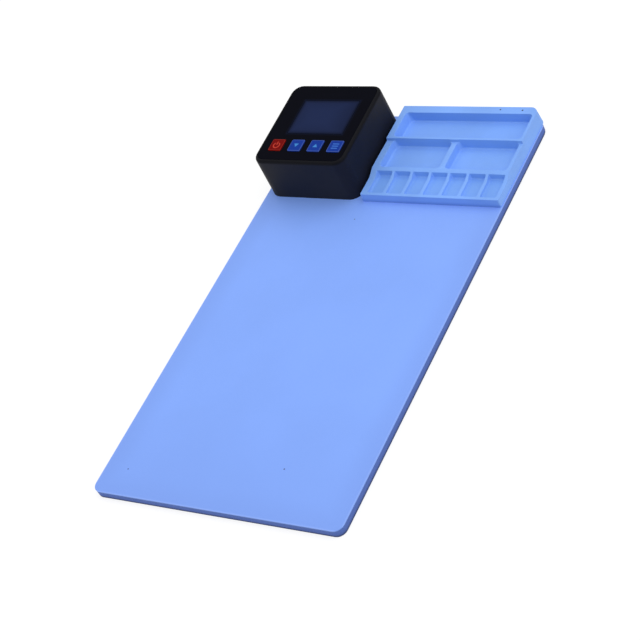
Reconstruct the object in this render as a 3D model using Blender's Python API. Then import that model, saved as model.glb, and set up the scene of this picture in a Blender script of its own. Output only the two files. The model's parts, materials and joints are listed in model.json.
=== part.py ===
# Heated mat for separating glued display glass from a phone or tablet.
# A layered silicone mat carries a keypad controller at its back left corner and a stepped parts
# tray at its back right corner.
# Metres, +Z up. The origin is the middle of the mat's underside, and +Y runs to the controller's end.

from math import cos, pi, radians, sin, tan

import bmesh
import bpy
from mathutils import Vector

for old in list(bpy.data.objects):
    bpy.data.objects.remove(old, do_unlink=True)

MM = 0.001

# Clearances
GAP = 0.3 * MM                   # between pieces that rest on each other or fit into each other
BEYOND = 2 * MM                  # how far a cutter runs past the face that it opens
ROUND_STEPS = 5                  # straight pieces in a rounded corner
CIRCLE_STEPS = 20                # sides of a round piece
WIRE_STEPS = 2                   # bevel resolution of a wire
WIRE_BEND = 6                    # a wire's bends start this many radii away from a corner

# Mat
MAT_WIDTH = 200 * MM
MAT_LENGTH = 360 * MM
MAT_CORNER = 6.5 * MM            # at the front
MAT_BACK_CORNER = 10 * MM
SKIN_THICK = 0.7 * MM            # grippy skin underneath
CORE_THICK = 3.9 * MM            # insulating layer that holds the heater
SHEET_THICK = 1.4 * MM           # working face
LAYER_INSET = 0.1 * MM           # the lower layers stop this far inside the top sheet's edge

# Heater, in a pocket of the core
POCKET_DEPTH = 2.1 * MM
POCKET_MARGIN = 8 * MM           # from the core's edge to the pocket
POCKET_TO_CONTROLLER = 2.4 * MM  # the pocket ends this far in front of the controller
LEAD_LANE = 11 * MM              # strip behind the carrier where the leads cross
CARRIER_THICK = 0.8 * MM
CARRIER_PLAY = 0.5 * MM
TRACK_WIDTH = 2.2 * MM
TRACK_MARGIN = 4 * MM            # from the carrier's edge to the outer tracks
TRACK_RUNS = 16
SENSOR_LENGTH = 9 * MM
SENSOR_WIDTH = 4 * MM
SENSOR_FROM_BACK = 18 * MM       # from the carrier's back edge to the sensor
HEATER_LEAD_R = 0.75 * MM
SENSOR_LEAD_R = 0.45 * MM
LEAD_SPREAD = 10.4 * MM          # between the two heater leads where they rise
HEATER_RUN = 7 * MM              # from the carrier's back edge to the heater leads' run across
SENSOR_RUN = 3.2 * MM            # and to the sensor lead's
LEAD_CROSSING = 2 * MM           # free height where the sensor lead crosses over a heater lead
LEAD_ENTRY = 2 * MM              # a wire's end inside its terminal

# Controller
CASE_WIDTH = 79.8 * MM
CASE_DEPTH = 80.1 * MM
CASE_HEIGHT = 37.3 * MM          # at its middle, above the mat
CASE_TILT = radians(1.5)         # the top rises towards the back
CASE_SIDE_MARGIN = 3.4 * MM      # from the mat's left edge
CASE_BACK_MARGIN = 6.4 * MM      # from the mat's back edge
CASE_CORNER = 9 * MM
CASE_DRAFT = 0.012               # how far a wall leans in for each unit of height
CASE_WALL = 2.2 * MM
CASE_RIM = 2.4 * MM              # of the housing round the front panel
CASE_ROUND = 2.1 * MM            # rounding of the rim's outer edge
CASE_ROUND_STEPS = 3
LEDGE_WIDTH = 2.4 * MM           # that the front panel lies on
LEDGE_THICK = 2.2 * MM
BOSS_R = 4 * MM
BOSS_INSET = 6.4 * MM            # from the outer faces to a boss's axis
BOSS_ROOF = 4 * MM               # above the screw's hole
PLATE_THICK = 2.2 * MM           # base plate
LEAD_HOLE_LENGTH = 16 * MM
LEAD_HOLE_WIDTH = 8 * MM
LEAD_HOLE_FROM_FRONT = 8.6 * MM  # from the housing's front face to the hole's middle

# Clamp that holds the controller to the mat
BACKING_THICK = 1.5 * MM
BACKING_MARGIN = 2 * MM          # from the case's outline to the backing plate
SCREW_R = 1.5 * MM
SCREW_HEAD_R = 3 * MM
SCREW_HEAD_THICK = 0.85 * MM
SCREW_FROM_FLOOR = 0.15 * MM     # the heads stay this far above the mat's underside
SCREW_BITE = 12 * MM             # length of screw inside a boss

# Front panel, in the plane of the case's top
PANEL_THICK = 1.6 * MM
WINDOW_LEFT = 12.95 * MM         # margins of the window inside the ledge that carries the panel
WINDOW_RIGHT = 7.75 * MM
WINDOW_BACK = 11.7 * MM
WINDOW_FROM_KEYS = 12.3 * MM     # from the middle of the row of keys
WINDOW_CORNER = 1.5 * MM
FRAME_MARGIN = 2 * MM            # of the display's frame round the window
FRAME_WALL = 1.2 * MM
GLASS_THICK = 2.6 * MM
KEY_SIZE = 11.3 * MM
KEY_CORNER = 1.2 * MM
KEY_LEFT = 3.9 * MM              # margins of the row of keys, with their lips, inside the ledge
KEY_RIGHT = 1.45 * MM
KEY_FROM_FRONT = 12 * MM         # from the ledge to the middle of the row
KEY_PROUD = 0.5 * MM
KEY_TRAVEL = 0.5 * MM
KEY_FLANGE = 0.7 * MM            # lip that keeps a key under the panel
KEY_FLANGE_THICK = 1.2 * MM
KEY_STEM_R = 1.7 * MM
KEY_STEM_LENGTH = 3.1 * MM
SWITCH_SIZE = 6.2 * MM
SWITCH_HEIGHT = 3.5 * MM
SWITCH_FLOOR = 1.1 * MM          # left under a pressed plunger
BOARD_THICK = 1.6 * MM
PANEL_BOARD_MARGIN = 0.5 * MM    # the board stays this far inside the ledge
STANDOFF_R = 1.9 * MM
STANDOFF_SCREW_R = 0.9 * MM
STANDOFF_HEAD_R = 1.8 * MM
STANDOFF_HEAD_THICK = 1.4 * MM
STANDOFF_INSET = 4.5 * MM        # from the board's side and back edges
STANDOFF_FROM_LEDGE = 2.6 * MM   # of the front two, which stand in front of the keys
CHIP_SIZE = 10 * MM
CHIP_THICK = 1.5 * MM

# Main board, on the base plate
MAIN_BOARD_SIDE = 4.8 * MM       # from the case's faces to the board
MAIN_BOARD_FRONT = 15.6 * MM
MAIN_BOARD_TO_INLET = 3.9 * MM
PILLAR_R = 3 * MM
PILLAR_HEIGHT = 5.3 * MM
PILLAR_INSET = 4 * MM            # from the board's edges
BOARD_HEAD_R = 2.8 * MM
BOARD_HEAD_THICK = 1.6 * MM
BOARD_SCREW_BITE = 4 * MM
PEG_PROUD = 1.2 * MM             # a peg's length above its board

# Pieces on the main board. Sizes are width, depth and height.
PARTS_MARGIN = 1.5 * MM          # from the board's front edge to the first pieces
PARTS_APART = 1 * MM
OUTPUT_SIZE = (15 * MM, 8 * MM, 10 * MM)
OUTPUT_ENTRY_UP = 4 * MM         # its wire entries, above its foot
SENSOR_PLUG_SIZE = (8 * MM, 5 * MM, 6 * MM)
MAINS_SIZE = (18 * MM, 8 * MM, 12 * MM)
MAINS_ENTRY_UP = 9 * MM
MAINS_ENTRY_PITCH = 5.5 * MM
FUSE_R = 4 * MM
FUSE_HEIGHT = 8 * MM
CAPACITOR_R = 3.2 * MM
CAPACITOR_HEIGHT = 12 * MM
MODULE_HEADROOM = 5 * MM         # below the panel board
SINK_HEADROOM = 3.5 * MM
SINK_DEPTH = 6.5 * MM
SINK_FINS = 4
SINK_BACK = 2.2 * MM
FIN_THICK = 1.4 * MM
TRIAC_SIZE = (10 * MM, 4.4 * MM, 11 * MM)
TRIAC_UP = 2.5 * MM              # the triac stands on legs of this length
LEG_WIDTH = 1.0 * MM
LEG_PITCH = 2.54 * MM
RIBBON_WIDTH = 10 * MM
RIBBON_THICK = 0.6 * MM
RIBBON_BULGE = 5 * MM
RIBBON_SOCKET = (12 * MM, 4 * MM, 3.5 * MM)

# Mains inlet, in the back wall
INLET_WIDTH = 27.2 * MM
INLET_HEIGHT = 19.8 * MM
INLET_CORNER = 3 * MM
FLANGE_WIDTH = 48 * MM
FLANGE_HEIGHT = 23 * MM
FLANGE_THICK = 2.4 * MM
FLANGE_CORNER = 2.5 * MM
SOCKET_WIDTH = 24.4 * MM
SOCKET_HEIGHT = 16.6 * MM
SOCKET_DEPTH = 15 * MM
INLET_BACK = 2.5 * MM            # thickness behind the socket
BLADE_WIDTH = 2 * MM
BLADE_HEIGHT = 4 * MM
BLADE_PITCH = 7 * MM
BLADE_LENGTH = 12.5 * MM
EARTH_UP = 2 * MM                # the middle blade is offset upwards, the outer two downwards
TAB_LENGTH = 5 * MM
INLET_SCREW_PITCH = 40 * MM
INLET_HEAD_R = 2.8 * MM
INLET_HEAD_THICK = 1.8 * MM
INLET_SCREW_LENGTH = 7 * MM
MAINS_WIRE_R = 0.9 * MM
MAINS_WIRE_LEAD = 2.5 * MM       # straight length at a blade

# Parts tray
TRAY_TO_CASE = 2.6 * MM          # between the tray and the controller
TRAY_INSET = 0.7 * MM            # from the mat's right edge to the tray
TRAY_DEPTH = 87.4 * MM
TRAY_HEIGHTS = (11.6 * MM, 9.45 * MM, 6.3 * MM)    # back, middle and front level
TRAY_FLOOR = 4.0 * MM            # of the compartments, above the tray's underside
TRAY_DRAFT = 0.085
SIDE_DRAFT = 0.24                # of a compartment's left and right walls
END_DRAFT = 0.14                 # of its front and back walls
TRAY_BACK_RIM = 7.9 * MM
ROW_LEFT_RIMS = (5.8 * MM, 6.1 * MM, 5.8 * MM)     # from the back row to the front one
ROW_RIGHT_RIMS = (2.9 * MM, 3.2 * MM, 3.4 * MM)
ROW_DEPTHS = (25.1 * MM, 26.7 * MM, 19.5 * MM)
ROW_COUNTS = (1, 2, 7)
ROW_RIBS = (0 * MM, 4.1 * MM, 2.6 * MM)            # between the compartments of a row
ROW_CORNERS = (4.5 * MM, 4.0 * MM, 1.4 * MM)       # at the floor
ROW_WALLS = (1.9 * MM, 3.3 * MM)                   # between one row and the next
MOUTH_CORNER = 0.6               # corner of a compartment's mouth, as a share of its floor's
STEP_RUN = 0.45 * MM             # steep step from the back level to the middle one
STEP_INSIDE = 0.3 * MM           # how far the middle compartments reach over that step's foot
RAMP_RUN = 8 * MM                # easy slope from the middle level to the front one
RAMP_AHEAD = 0.4 * MM
TRAY_FRONT_CORNER = 1.2 * MM
TRAY_BACK_CORNER = 1.2 * MM
TAPE_THICK = 0.6 * MM
TAPE_MARGIN = 5 * MM             # from the tray's edge to the tape

# Heights
skin_top = SKIN_THICK
core_bottom = skin_top + GAP
core_top = core_bottom + CORE_THICK
sheet_bottom = core_top + GAP
mat_top = sheet_bottom + SHEET_THICK
pocket_floor = core_top - POCKET_DEPTH
carrier_bottom = pocket_floor + GAP
track_bottom = carrier_bottom + CARRIER_THICK + GAP
plate_bottom = mat_top + GAP
plate_top = plate_bottom + PLATE_THICK
pillar_top = plate_top + PILLAR_HEIGHT
board_bottom = pillar_top + GAP
board_top = board_bottom + BOARD_THICK
parts_bottom = board_top + GAP

# Plan
case_left = -MAT_WIDTH / 2 + CASE_SIDE_MARGIN
case_right = case_left + CASE_WIDTH
case_back = MAT_LENGTH / 2 - CASE_BACK_MARGIN
case_front = case_back - CASE_DEPTH
case_x = (case_left + case_right) / 2
case_y = (case_front + case_back) / 2
case_top = mat_top + CASE_HEIGHT
pocket_back = case_front - POCKET_TO_CONTROLLER
carrier_back = pocket_back - LEAD_LANE
hole_y = case_front + LEAD_HOLE_FROM_FRONT
boss_places = [(x, y) for x in (case_left + BOSS_INSET, case_right - BOSS_INSET)
               for y in (case_front + BOSS_INSET, case_back - BOSS_INSET)]


# Case's top: a tilted plane that the front panel's pieces share. Depths below it are negative.

def top_plane(depth=0.0):
    """Height of the plane that lies depth under the case's top, as a function of y."""
    return lambda y: case_top - depth / cos(CASE_TILT) + (y - case_y) * tan(CASE_TILT)


top_draw = CASE_DRAFT * CASE_HEIGHT
recess_width = CASE_WIDTH - 2 * top_draw - 2 * CASE_RIM
recess_depth = (CASE_DEPTH - 2 * top_draw) / cos(CASE_TILT) - 2 * CASE_RIM
recess_corner = max(CASE_CORNER - top_draw - CASE_RIM, 2 * GAP)
ledge_top = -PANEL_THICK - GAP
ledge_bottom = ledge_top - LEDGE_THICK
ledge_width = recess_width - 2 * LEDGE_WIDTH
ledge_depth = recess_depth - 2 * LEDGE_WIDTH

key_names = ("power", "down", "up", "mode")
key_bottom = ledge_top - KEY_FLANGE_THICK
stem_bottom = key_bottom - KEY_STEM_LENGTH
switch_bottom = stem_bottom - KEY_TRAVEL - GAP - SWITCH_FLOOR
switch_top = switch_bottom + SWITCH_HEIGHT
panel_board_top = switch_bottom - GAP
panel_board_bottom = panel_board_top - BOARD_THICK
panel_board_width = ledge_width - 2 * PANEL_BOARD_MARGIN
panel_board_depth = ledge_depth - 2 * PANEL_BOARD_MARGIN

lip_size = KEY_SIZE + 2 * KEY_FLANGE
key_row_left = -ledge_width / 2 + KEY_LEFT + lip_size / 2
key_pitch = (ledge_width - KEY_LEFT - KEY_RIGHT - lip_size) / (len(key_names) - 1)
key_row_up = -ledge_depth / 2 + KEY_FROM_FRONT
window_width = ledge_width - WINDOW_LEFT - WINDOW_RIGHT
window_across = (WINDOW_LEFT - WINDOW_RIGHT) / 2
window_front = key_row_up + WINDOW_FROM_KEYS
window_height = ledge_depth / 2 - WINDOW_BACK - window_front
window_up = window_front + window_height / 2

# Inlet: midway between the base plate and the panel board, in the back wall
inlet_z = (plate_top + top_plane(-panel_board_bottom)(case_back)) / 2
wall_y = case_back - CASE_DRAFT * (inlet_z - mat_top)
flange_back = GAP + CASE_DRAFT * FLANGE_HEIGHT / 2
flange_front = flange_back + FLANGE_THICK
inlet_back = flange_front - SOCKET_DEPTH - INLET_BACK

# Main board: in front of the inlet, clear of the leads' hole. Its pieces stand in three columns.
board_front = case_front + MAIN_BOARD_FRONT
board_back = wall_y + inlet_back - MAIN_BOARD_TO_INLET
board_y = (board_front + board_back) / 2
board_left = case_left + MAIN_BOARD_SIDE
board_right = case_right - MAIN_BOARD_SIDE
corner_room = PILLAR_INSET + BOARD_HEAD_R + GAP
parts_front = board_front + PARTS_MARGIN + OUTPUT_SIZE[1] + PARTS_APART
parts_back = board_back - corner_room
column_left = case_x - MAINS_SIZE[0] / 2 - PARTS_APART
column_right = case_x + MAINS_SIZE[0] / 2 + PARTS_APART
plug_x = board_left + corner_room + PARTS_APART / 2 + SENSOR_PLUG_SIZE[0] / 2
plug_y = board_front + PARTS_MARGIN + SENSOR_PLUG_SIZE[1] / 2
ribbon_x = board_right - corner_room - PARTS_APART / 2 - RIBBON_SOCKET[0] / 2
ribbon_y = board_front + PARTS_MARGIN + RIBBON_SOCKET[1] / 2
output_y = board_front + PARTS_MARGIN + OUTPUT_SIZE[1] / 2
mains_y = parts_front + MAINS_SIZE[1] / 2

panel_plane = bpy.data.objects.new("panel_plane", None)
bpy.context.scene.collection.objects.link(panel_plane)
panel_plane.location = (case_x, case_y, case_top)
panel_plane.rotation_euler = (CASE_TILT, 0, 0)


def plain_material(name, color, roughness, metallic=0.0):
    material = bpy.data.materials.new(name)
    material.use_nodes = True
    shader = material.node_tree.nodes["Principled BSDF"]
    shader.inputs["Base Color"].default_value = (*color, 1)
    shader.inputs["Roughness"].default_value = roughness
    shader.inputs["Metallic"].default_value = metallic
    material.diffuse_color = (*color, 1)
    return material


SHEET_BLUE = plain_material("sheet_blue", (0.22, 0.39, 0.94), 0.6)
CORE_BLUE = plain_material("core_blue", (0.06, 0.11, 0.42), 0.7)
SKIN_BLUE = plain_material("skin_blue", (0.04, 0.06, 0.22), 0.8)
TRAY_BLUE = plain_material("tray_blue", (0.17, 0.36, 0.90), 0.5)
CASE_BLACK = plain_material("case_black", (0.014, 0.016, 0.028), 0.5)
PANEL_BLACK = plain_material("panel_black", (0.004, 0.004, 0.008), 0.15)
WINDOW_NAVY = plain_material("window_navy", (0.013, 0.021, 0.08), 0.1)
KEY_RED = plain_material("key_red", (0.55, 0.01, 0.005), 0.35)
KEY_BLUE = plain_material("key_blue", (0.02, 0.08, 0.55), 0.35)
DARK_PLASTIC = plain_material("dark_plastic", (0.02, 0.02, 0.02), 0.5)
WHITE_PLASTIC = plain_material("white_plastic", (0.75, 0.74, 0.70), 0.5)
GREEN_PLASTIC = plain_material("green_plastic", (0.03, 0.30, 0.12), 0.45)
BOARD_GREEN = plain_material("board_green", (0.02, 0.16, 0.05), 0.4)
GLASS = plain_material("glass", (0.30, 0.38, 0.36), 0.05)
FOIL = plain_material("foil", (0.62, 0.50, 0.36), 0.35, 1.0)
STEEL = plain_material("steel", (0.60, 0.61, 0.62), 0.3, 1.0)
BRASS = plain_material("brass", (0.72, 0.56, 0.25), 0.3, 1.0)
ALUMINIUM = plain_material("aluminium", (0.75, 0.76, 0.78), 0.4, 1.0)
CARRIER = plain_material("carrier", (0.45, 0.16, 0.07), 0.7)
WIRE_RED = plain_material("wire_red", (0.50, 0.03, 0.03), 0.5)
WIRE_WHITE = plain_material("wire_white", (0.70, 0.70, 0.68), 0.5)
TAPE = plain_material("tape", (0.55, 0.55, 0.52), 0.8)


# Outlines: lists of (x, y), counter-clockwise

def rounded_box(x0, x1, y0, y1, radii, steps=ROUND_STEPS):
    """Rectangle with its own radius at the front left, front right, back right and back left."""
    corners = [(x0, y0, 1, 1, pi), (x1, y0, -1, 1, 1.5 * pi), (x1, y1, -1, -1, 0), (x0, y1, 1, -1, pi / 2)]
    points = []
    for (x, y, to_x, to_y, start), r in zip(corners, radii):
        for i in range(steps + 1):
            angle = start + i / steps * pi / 2
            points.append((x + to_x * r + r * cos(angle), y + to_y * r + r * sin(angle)))
    return points


def rounded(width, depth, radius, x=0.0, y=0.0, steps=ROUND_STEPS):
    return rounded_box(x - width / 2, x + width / 2, y - depth / 2, y + depth / 2, [radius] * 4, steps)


def box_outline(width, depth, x=0.0, y=0.0):
    x0, x1, y0, y1 = x - width / 2, x + width / 2, y - depth / 2, y + depth / 2
    return [(x0, y0), (x1, y0), (x1, y1), (x0, y1)]


def circle(radius, x=0.0, y=0.0, steps=CIRCLE_STEPS):
    angles = [2 * pi * i / steps for i in range(steps)]
    return [(x + radius * cos(angle), y + radius * sin(angle)) for angle in angles]


# Solids

def add_stack(bm, levels):
    """Closed solid through outlines of equal length: each level is (outline, height or height function)."""
    rings = []
    for outline, height in levels:
        rings.append([bm.verts.new((x, y, height(y) if callable(height) else height)) for x, y in outline])
    bm.faces.new(list(reversed(rings[0])))
    for low, high in zip(rings, rings[1:]):
        for i in range(len(low)):
            j = (i + 1) % len(low)
            bm.faces.new((low[i], low[j], high[j], high[i]))
    bm.faces.new(rings[-1])


def add_strip(bm, points, width, bottom, top):
    """Flat strip of constant width along a path of (x, y) points."""
    rings = []
    for i, point in enumerate(points):
        here = Vector(point)
        before = Vector(points[i - 1]) if i else here * 2 - Vector(points[1])
        after = Vector(points[i + 1]) if i + 1 < len(points) else here * 2 - Vector(points[-2])
        along = ((here - before).normalized() + (after - here).normalized()).normalized()
        side = Vector((-along.y, along.x)) * (width / 2 / max(0.5, along.dot((after - here).normalized())))
        a, b = here + side, here - side
        rings.append([bm.verts.new((*b, bottom)), bm.verts.new((*a, bottom)),
                      bm.verts.new((*a, top)), bm.verts.new((*b, top))])
    bm.faces.new(rings[0])
    for low, high in zip(rings, rings[1:]):
        for i in range(4):
            j = (i + 1) % 4
            bm.faces.new((low[j], low[i], high[i], high[j]))
    bm.faces.new(list(reversed(rings[-1])))


def finish_object(name, bm, material, parent=None, smooth=False):
    bmesh.ops.recalc_face_normals(bm, faces=bm.faces[:])
    mesh = bpy.data.meshes.new(name)
    bm.to_mesh(mesh)
    bm.free()
    if smooth:
        mesh.shade_smooth()
        mesh.set_sharp_from_angle(angle=radians(35))
    if material:
        mesh.materials.append(material)
    made = bpy.data.objects.new(name, mesh)
    bpy.context.scene.collection.objects.link(made)
    made.parent = parent
    return made


def solid(name, material, levels, parent=None, smooth=False):
    """Object of one closed solid, given as the levels of add_stack."""
    bm = bmesh.new()
    add_stack(bm, levels)
    return finish_object(name, bm, material, parent, smooth)


def combine(target, operation, tool):
    """Boolean with an object that then stays hidden."""
    tool.hide_render = True
    tool.display_type = "WIRE"
    modifier = target.modifiers.new(tool.name, "BOOLEAN")
    modifier.operation = operation
    modifier.solver = "EXACT"
    modifier.object = tool
    return tool


def hidden(target, stacks, parent=None):
    """Tool of one or more solids, each given as the levels of add_stack. They don't touch each other."""
    bm = bmesh.new()
    for levels in stacks:
        add_stack(bm, levels)
    return finish_object(f"{target.name}_tool_{len(target.modifiers)}", bm, None, parent)


def cut(target, stacks, parent=None):
    return combine(target, "DIFFERENCE", hidden(target, stacks, parent))


def fuse(target, stacks, parent=None):
    return combine(target, "UNION", hidden(target, stacks, parent))


def prism(outline, bottom, top):
    return [(outline, bottom), (outline, top)]


def block(size, x, y, bottom):
    width, depth, height = size
    return prism(box_outline(width, depth, x, y), bottom, bottom + height)


def wire(name, material, route, radius):
    """Insulated wire along a route whose corners are rounded."""
    curve = bpy.data.curves.new(name, "CURVE")
    curve.dimensions = "3D"
    curve.bevel_depth = radius
    curve.bevel_resolution = WIRE_STEPS
    curve.use_fill_caps = True
    points = smooth_route([Vector(p) for p in route], radius * WIRE_BEND)
    spline = curve.splines.new("POLY")
    spline.points.add(len(points) - 1)
    for target, p in zip(spline.points, points):
        target.co = (*p, 1)
    curve.materials.append(material)
    made = bpy.data.objects.new(name, curve)
    bpy.context.scene.collection.objects.link(made)
    return made


def smooth_route(points, bend):
    """Rounds each inner corner of a route with a short curve that starts bend away from it."""
    rounded_points = [points[0]]
    for before, corner, after in zip(points, points[1:], points[2:]):
        reach_in = min(bend, (corner - before).length * 0.49)
        reach_out = min(bend, (after - corner).length * 0.49)
        start = corner + (before - corner).normalized() * reach_in
        end = corner + (after - corner).normalized() * reach_out
        for i in range(5):
            t = i / 4
            rounded_points.append(start * (1 - t) ** 2 + corner * 2 * t * (1 - t) + end * t ** 2)
    rounded_points.append(points[-1])
    return rounded_points


# Screws and other round pieces stand on their axis, along +Z

def screw(x, y, head_bottom, head_thick, head_r, shank_r, shank_to):
    """Levels of a screw whose shank runs from its head to the height shank_to, up or down."""
    head_top = head_bottom + head_thick
    head, shank = circle(head_r, x, y), circle(shank_r, x, y)
    if shank_to > head_top:
        return [(head, head_bottom), (head, head_top), (shank, head_top), (shank, shank_to)]
    return [(shank, shank_to), (shank, head_bottom), (head, head_bottom), (head, head_top)]


# Mat

def mat_outline(inset=0.0):
    x, y = MAT_WIDTH / 2 - inset, MAT_LENGTH / 2 - inset
    return rounded_box(-x, x, -y, y, [MAT_CORNER - inset] * 2 + [MAT_BACK_CORNER - inset] * 2)


def lead_hole(bottom, top, extra=0.0):
    outline = rounded(LEAD_HOLE_LENGTH + extra, LEAD_HOLE_WIDTH + extra, LEAD_HOLE_WIDTH / 2 - GAP,
                      case_x, hole_y)
    return prism(outline, bottom, top)


def screw_holes(bottom, top, radius):
    return [prism(circle(radius, x, y), bottom, top) for x, y in boss_places]


backing_bottom = skin_top + 2 * GAP
backing_top = backing_bottom + BACKING_THICK
clamp_hole_r = SCREW_R + GAP


def case_outline(inset):
    """The case's outline at the mat, drawn in by inset."""
    corner = max(CASE_CORNER - inset, GAP)
    return rounded(CASE_WIDTH - 2 * inset, CASE_DEPTH - 2 * inset, corner, case_x, case_y)


def make_skin():
    skin = solid("mat_base_skin", SKIN_BLUE, prism(mat_outline(LAYER_INSET), 0, skin_top))
    cut(skin, screw_holes(-BEYOND, skin_top + BEYOND, SCREW_HEAD_R + 2 * GAP))


def make_core():
    core = solid("mat_core", CORE_BLUE, prism(mat_outline(LAYER_INSET), core_bottom, core_top))
    half = MAT_WIDTH / 2 - LAYER_INSET - POCKET_MARGIN
    front = -MAT_LENGTH / 2 + LAYER_INSET + POCKET_MARGIN
    pocket = prism([(-half, front), (half, front), (half, pocket_back), (-half, pocket_back)],
                   pocket_floor, core_top + BEYOND)
    cut(core, [pocket])
    channel = box_outline(LEAD_HOLE_LENGTH, hole_y + LEAD_HOLE_WIDTH / 2 - pocket_back + BEYOND, case_x,
                          (hole_y + LEAD_HOLE_WIDTH / 2 + pocket_back - BEYOND) / 2)
    cut(core, [prism(channel, pocket_floor + GAP / 2, core_top + 2 * BEYOND)])
    cut(core, [prism(backing_outline(-GAP), core_bottom - BEYOND, backing_top + GAP)])
    cut(core, screw_holes(core_bottom, core_top + BEYOND, clamp_hole_r))


def backing_outline(inset=0.0):
    """Clamp plate under the case, with a notch in its front edge for the channel of the leads."""
    margin = BACKING_MARGIN + inset
    outline = rounded_box(case_left + margin, case_right - margin, case_front + margin, case_back - margin,
                          [max(CASE_CORNER - margin, GAP)] * 4)
    half = LEAD_HOLE_LENGTH / 2 + margin
    deep = hole_y + LEAD_HOLE_WIDTH / 2 + margin
    front = case_front + margin
    notch = [(case_x - half, front), (case_x - half, deep), (case_x + half, deep), (case_x + half, front)]
    return outline[:ROUND_STEPS + 1] + notch + outline[ROUND_STEPS + 1:]


def make_backing():
    plate = solid("backing_plate", STEEL, prism(backing_outline(), backing_bottom, backing_top))
    cut(plate, screw_holes(backing_bottom - BEYOND, backing_top + BEYOND, clamp_hole_r))


def make_sheet():
    sheet = solid("mat_top_sheet", SHEET_BLUE, prism(mat_outline(), sheet_bottom, mat_top))
    cut(sheet, screw_holes(sheet_bottom - BEYOND, mat_top + BEYOND, clamp_hole_r)
        + [lead_hole(sheet_bottom - BEYOND, mat_top + BEYOND)])


def make_clamp_screws():
    tip = plate_top + GAP + SCREW_BITE
    head_thick = min(SCREW_HEAD_THICK, backing_bottom - GAP - SCREW_FROM_FLOOR)
    for i, (x, y) in enumerate(boss_places):
        levels = screw(x, y, SCREW_FROM_FLOOR, head_thick, SCREW_HEAD_R, SCREW_R, tip)
        solid(f"clamp_screw_{i + 1}", STEEL, levels, smooth=True)


# Heater

carrier_half = MAT_WIDTH / 2 - LAYER_INSET - POCKET_MARGIN - CARRIER_PLAY
carrier_front = -MAT_LENGTH / 2 + LAYER_INSET + POCKET_MARGIN + CARRIER_PLAY
track_half = carrier_half - TRACK_MARGIN
track_pitch = 2 * track_half / (TRACK_RUNS - 1)
track_thick = core_top - track_bottom
nearest_gap = 2 * round((case_x + track_half - track_pitch / 2) / (2 * track_pitch))
sensor_x = -track_half + track_pitch * (nearest_gap + 0.5)
sensor_back = carrier_back - SENSOR_FROM_BACK


def make_heater():
    carrier = [(-carrier_half, carrier_front), (carrier_half, carrier_front),
               (carrier_half, carrier_back), (-carrier_half, carrier_back)]
    solid("heater_carrier", CARRIER, prism(carrier, carrier_bottom, carrier_bottom + CARRIER_THICK))
    turn = track_pitch / 2
    low = carrier_front + TRACK_MARGIN + turn
    high = carrier_back - TRACK_MARGIN - turn
    path = [(-track_half, carrier_back)]
    for run in range(TRACK_RUNS - 1):
        x = -track_half + run * track_pitch
        going_front = run % 2 == 0
        y, way = (low, -1) if going_front else (high, 1)
        for i in range(ROUND_STEPS + 1):
            angle = pi * i / ROUND_STEPS
            path.append((x + turn - turn * cos(angle), y + way * turn * sin(angle)))
    path.append((track_half, carrier_back))
    bm = bmesh.new()
    add_strip(bm, path, TRACK_WIDTH, track_bottom, track_bottom + track_thick)
    finish_object("heating_element", bm, FOIL)


def make_sensor():
    outline = rounded(SENSOR_WIDTH, SENSOR_LENGTH, SENSOR_WIDTH / 3,
                      sensor_x, sensor_back - SENSOR_LENGTH / 2)
    solid("temperature_sensor", STEEL, prism(outline, track_bottom, track_bottom + track_thick), smooth=True)


def make_leads():
    lane = carrier_back + HEATER_RUN
    sensor_lane = carrier_back + SENSOR_RUN
    level = pocket_floor + GAP + HEATER_LEAD_R
    socket_y = output_y - OUTPUT_SIZE[1] / 2
    socket_z = parts_bottom + OUTPUT_ENTRY_UP
    for side, end in ((-1, "left"), (1, "right")):
        start_x = side * track_half
        up_x = case_x + side * LEAD_SPREAD / 2
        route = [(start_x, carrier_back + GAP, level), (start_x, lane, level), (up_x, lane, level),
                 (up_x, hole_y, level), (up_x, hole_y, socket_z), (up_x, socket_y + LEAD_ENTRY, socket_z)]
        wire(f"heater_lead_{end}", WIRE_WHITE, route, HEATER_LEAD_R)
    level = track_bottom + track_thick / 2
    plug_face = plug_y - SENSOR_PLUG_SIZE[1] / 2
    plug_z = parts_bottom + SENSOR_PLUG_SIZE[2] / 2
    over = socket_z + HEATER_LEAD_R + SENSOR_LEAD_R + LEAD_CROSSING
    route = [(sensor_x, sensor_back + GAP, level), (sensor_x, sensor_lane, level),
             (case_x, sensor_lane, level), (case_x, hole_y, level), (case_x, hole_y, over),
             (plug_x, hole_y, over),
             (plug_x, (hole_y + plug_face) / 2, plug_z), (plug_x, plug_face - GAP, plug_z)]
    wire("sensor_lead", WIRE_RED, route, SENSOR_LEAD_R)


# Case

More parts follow.
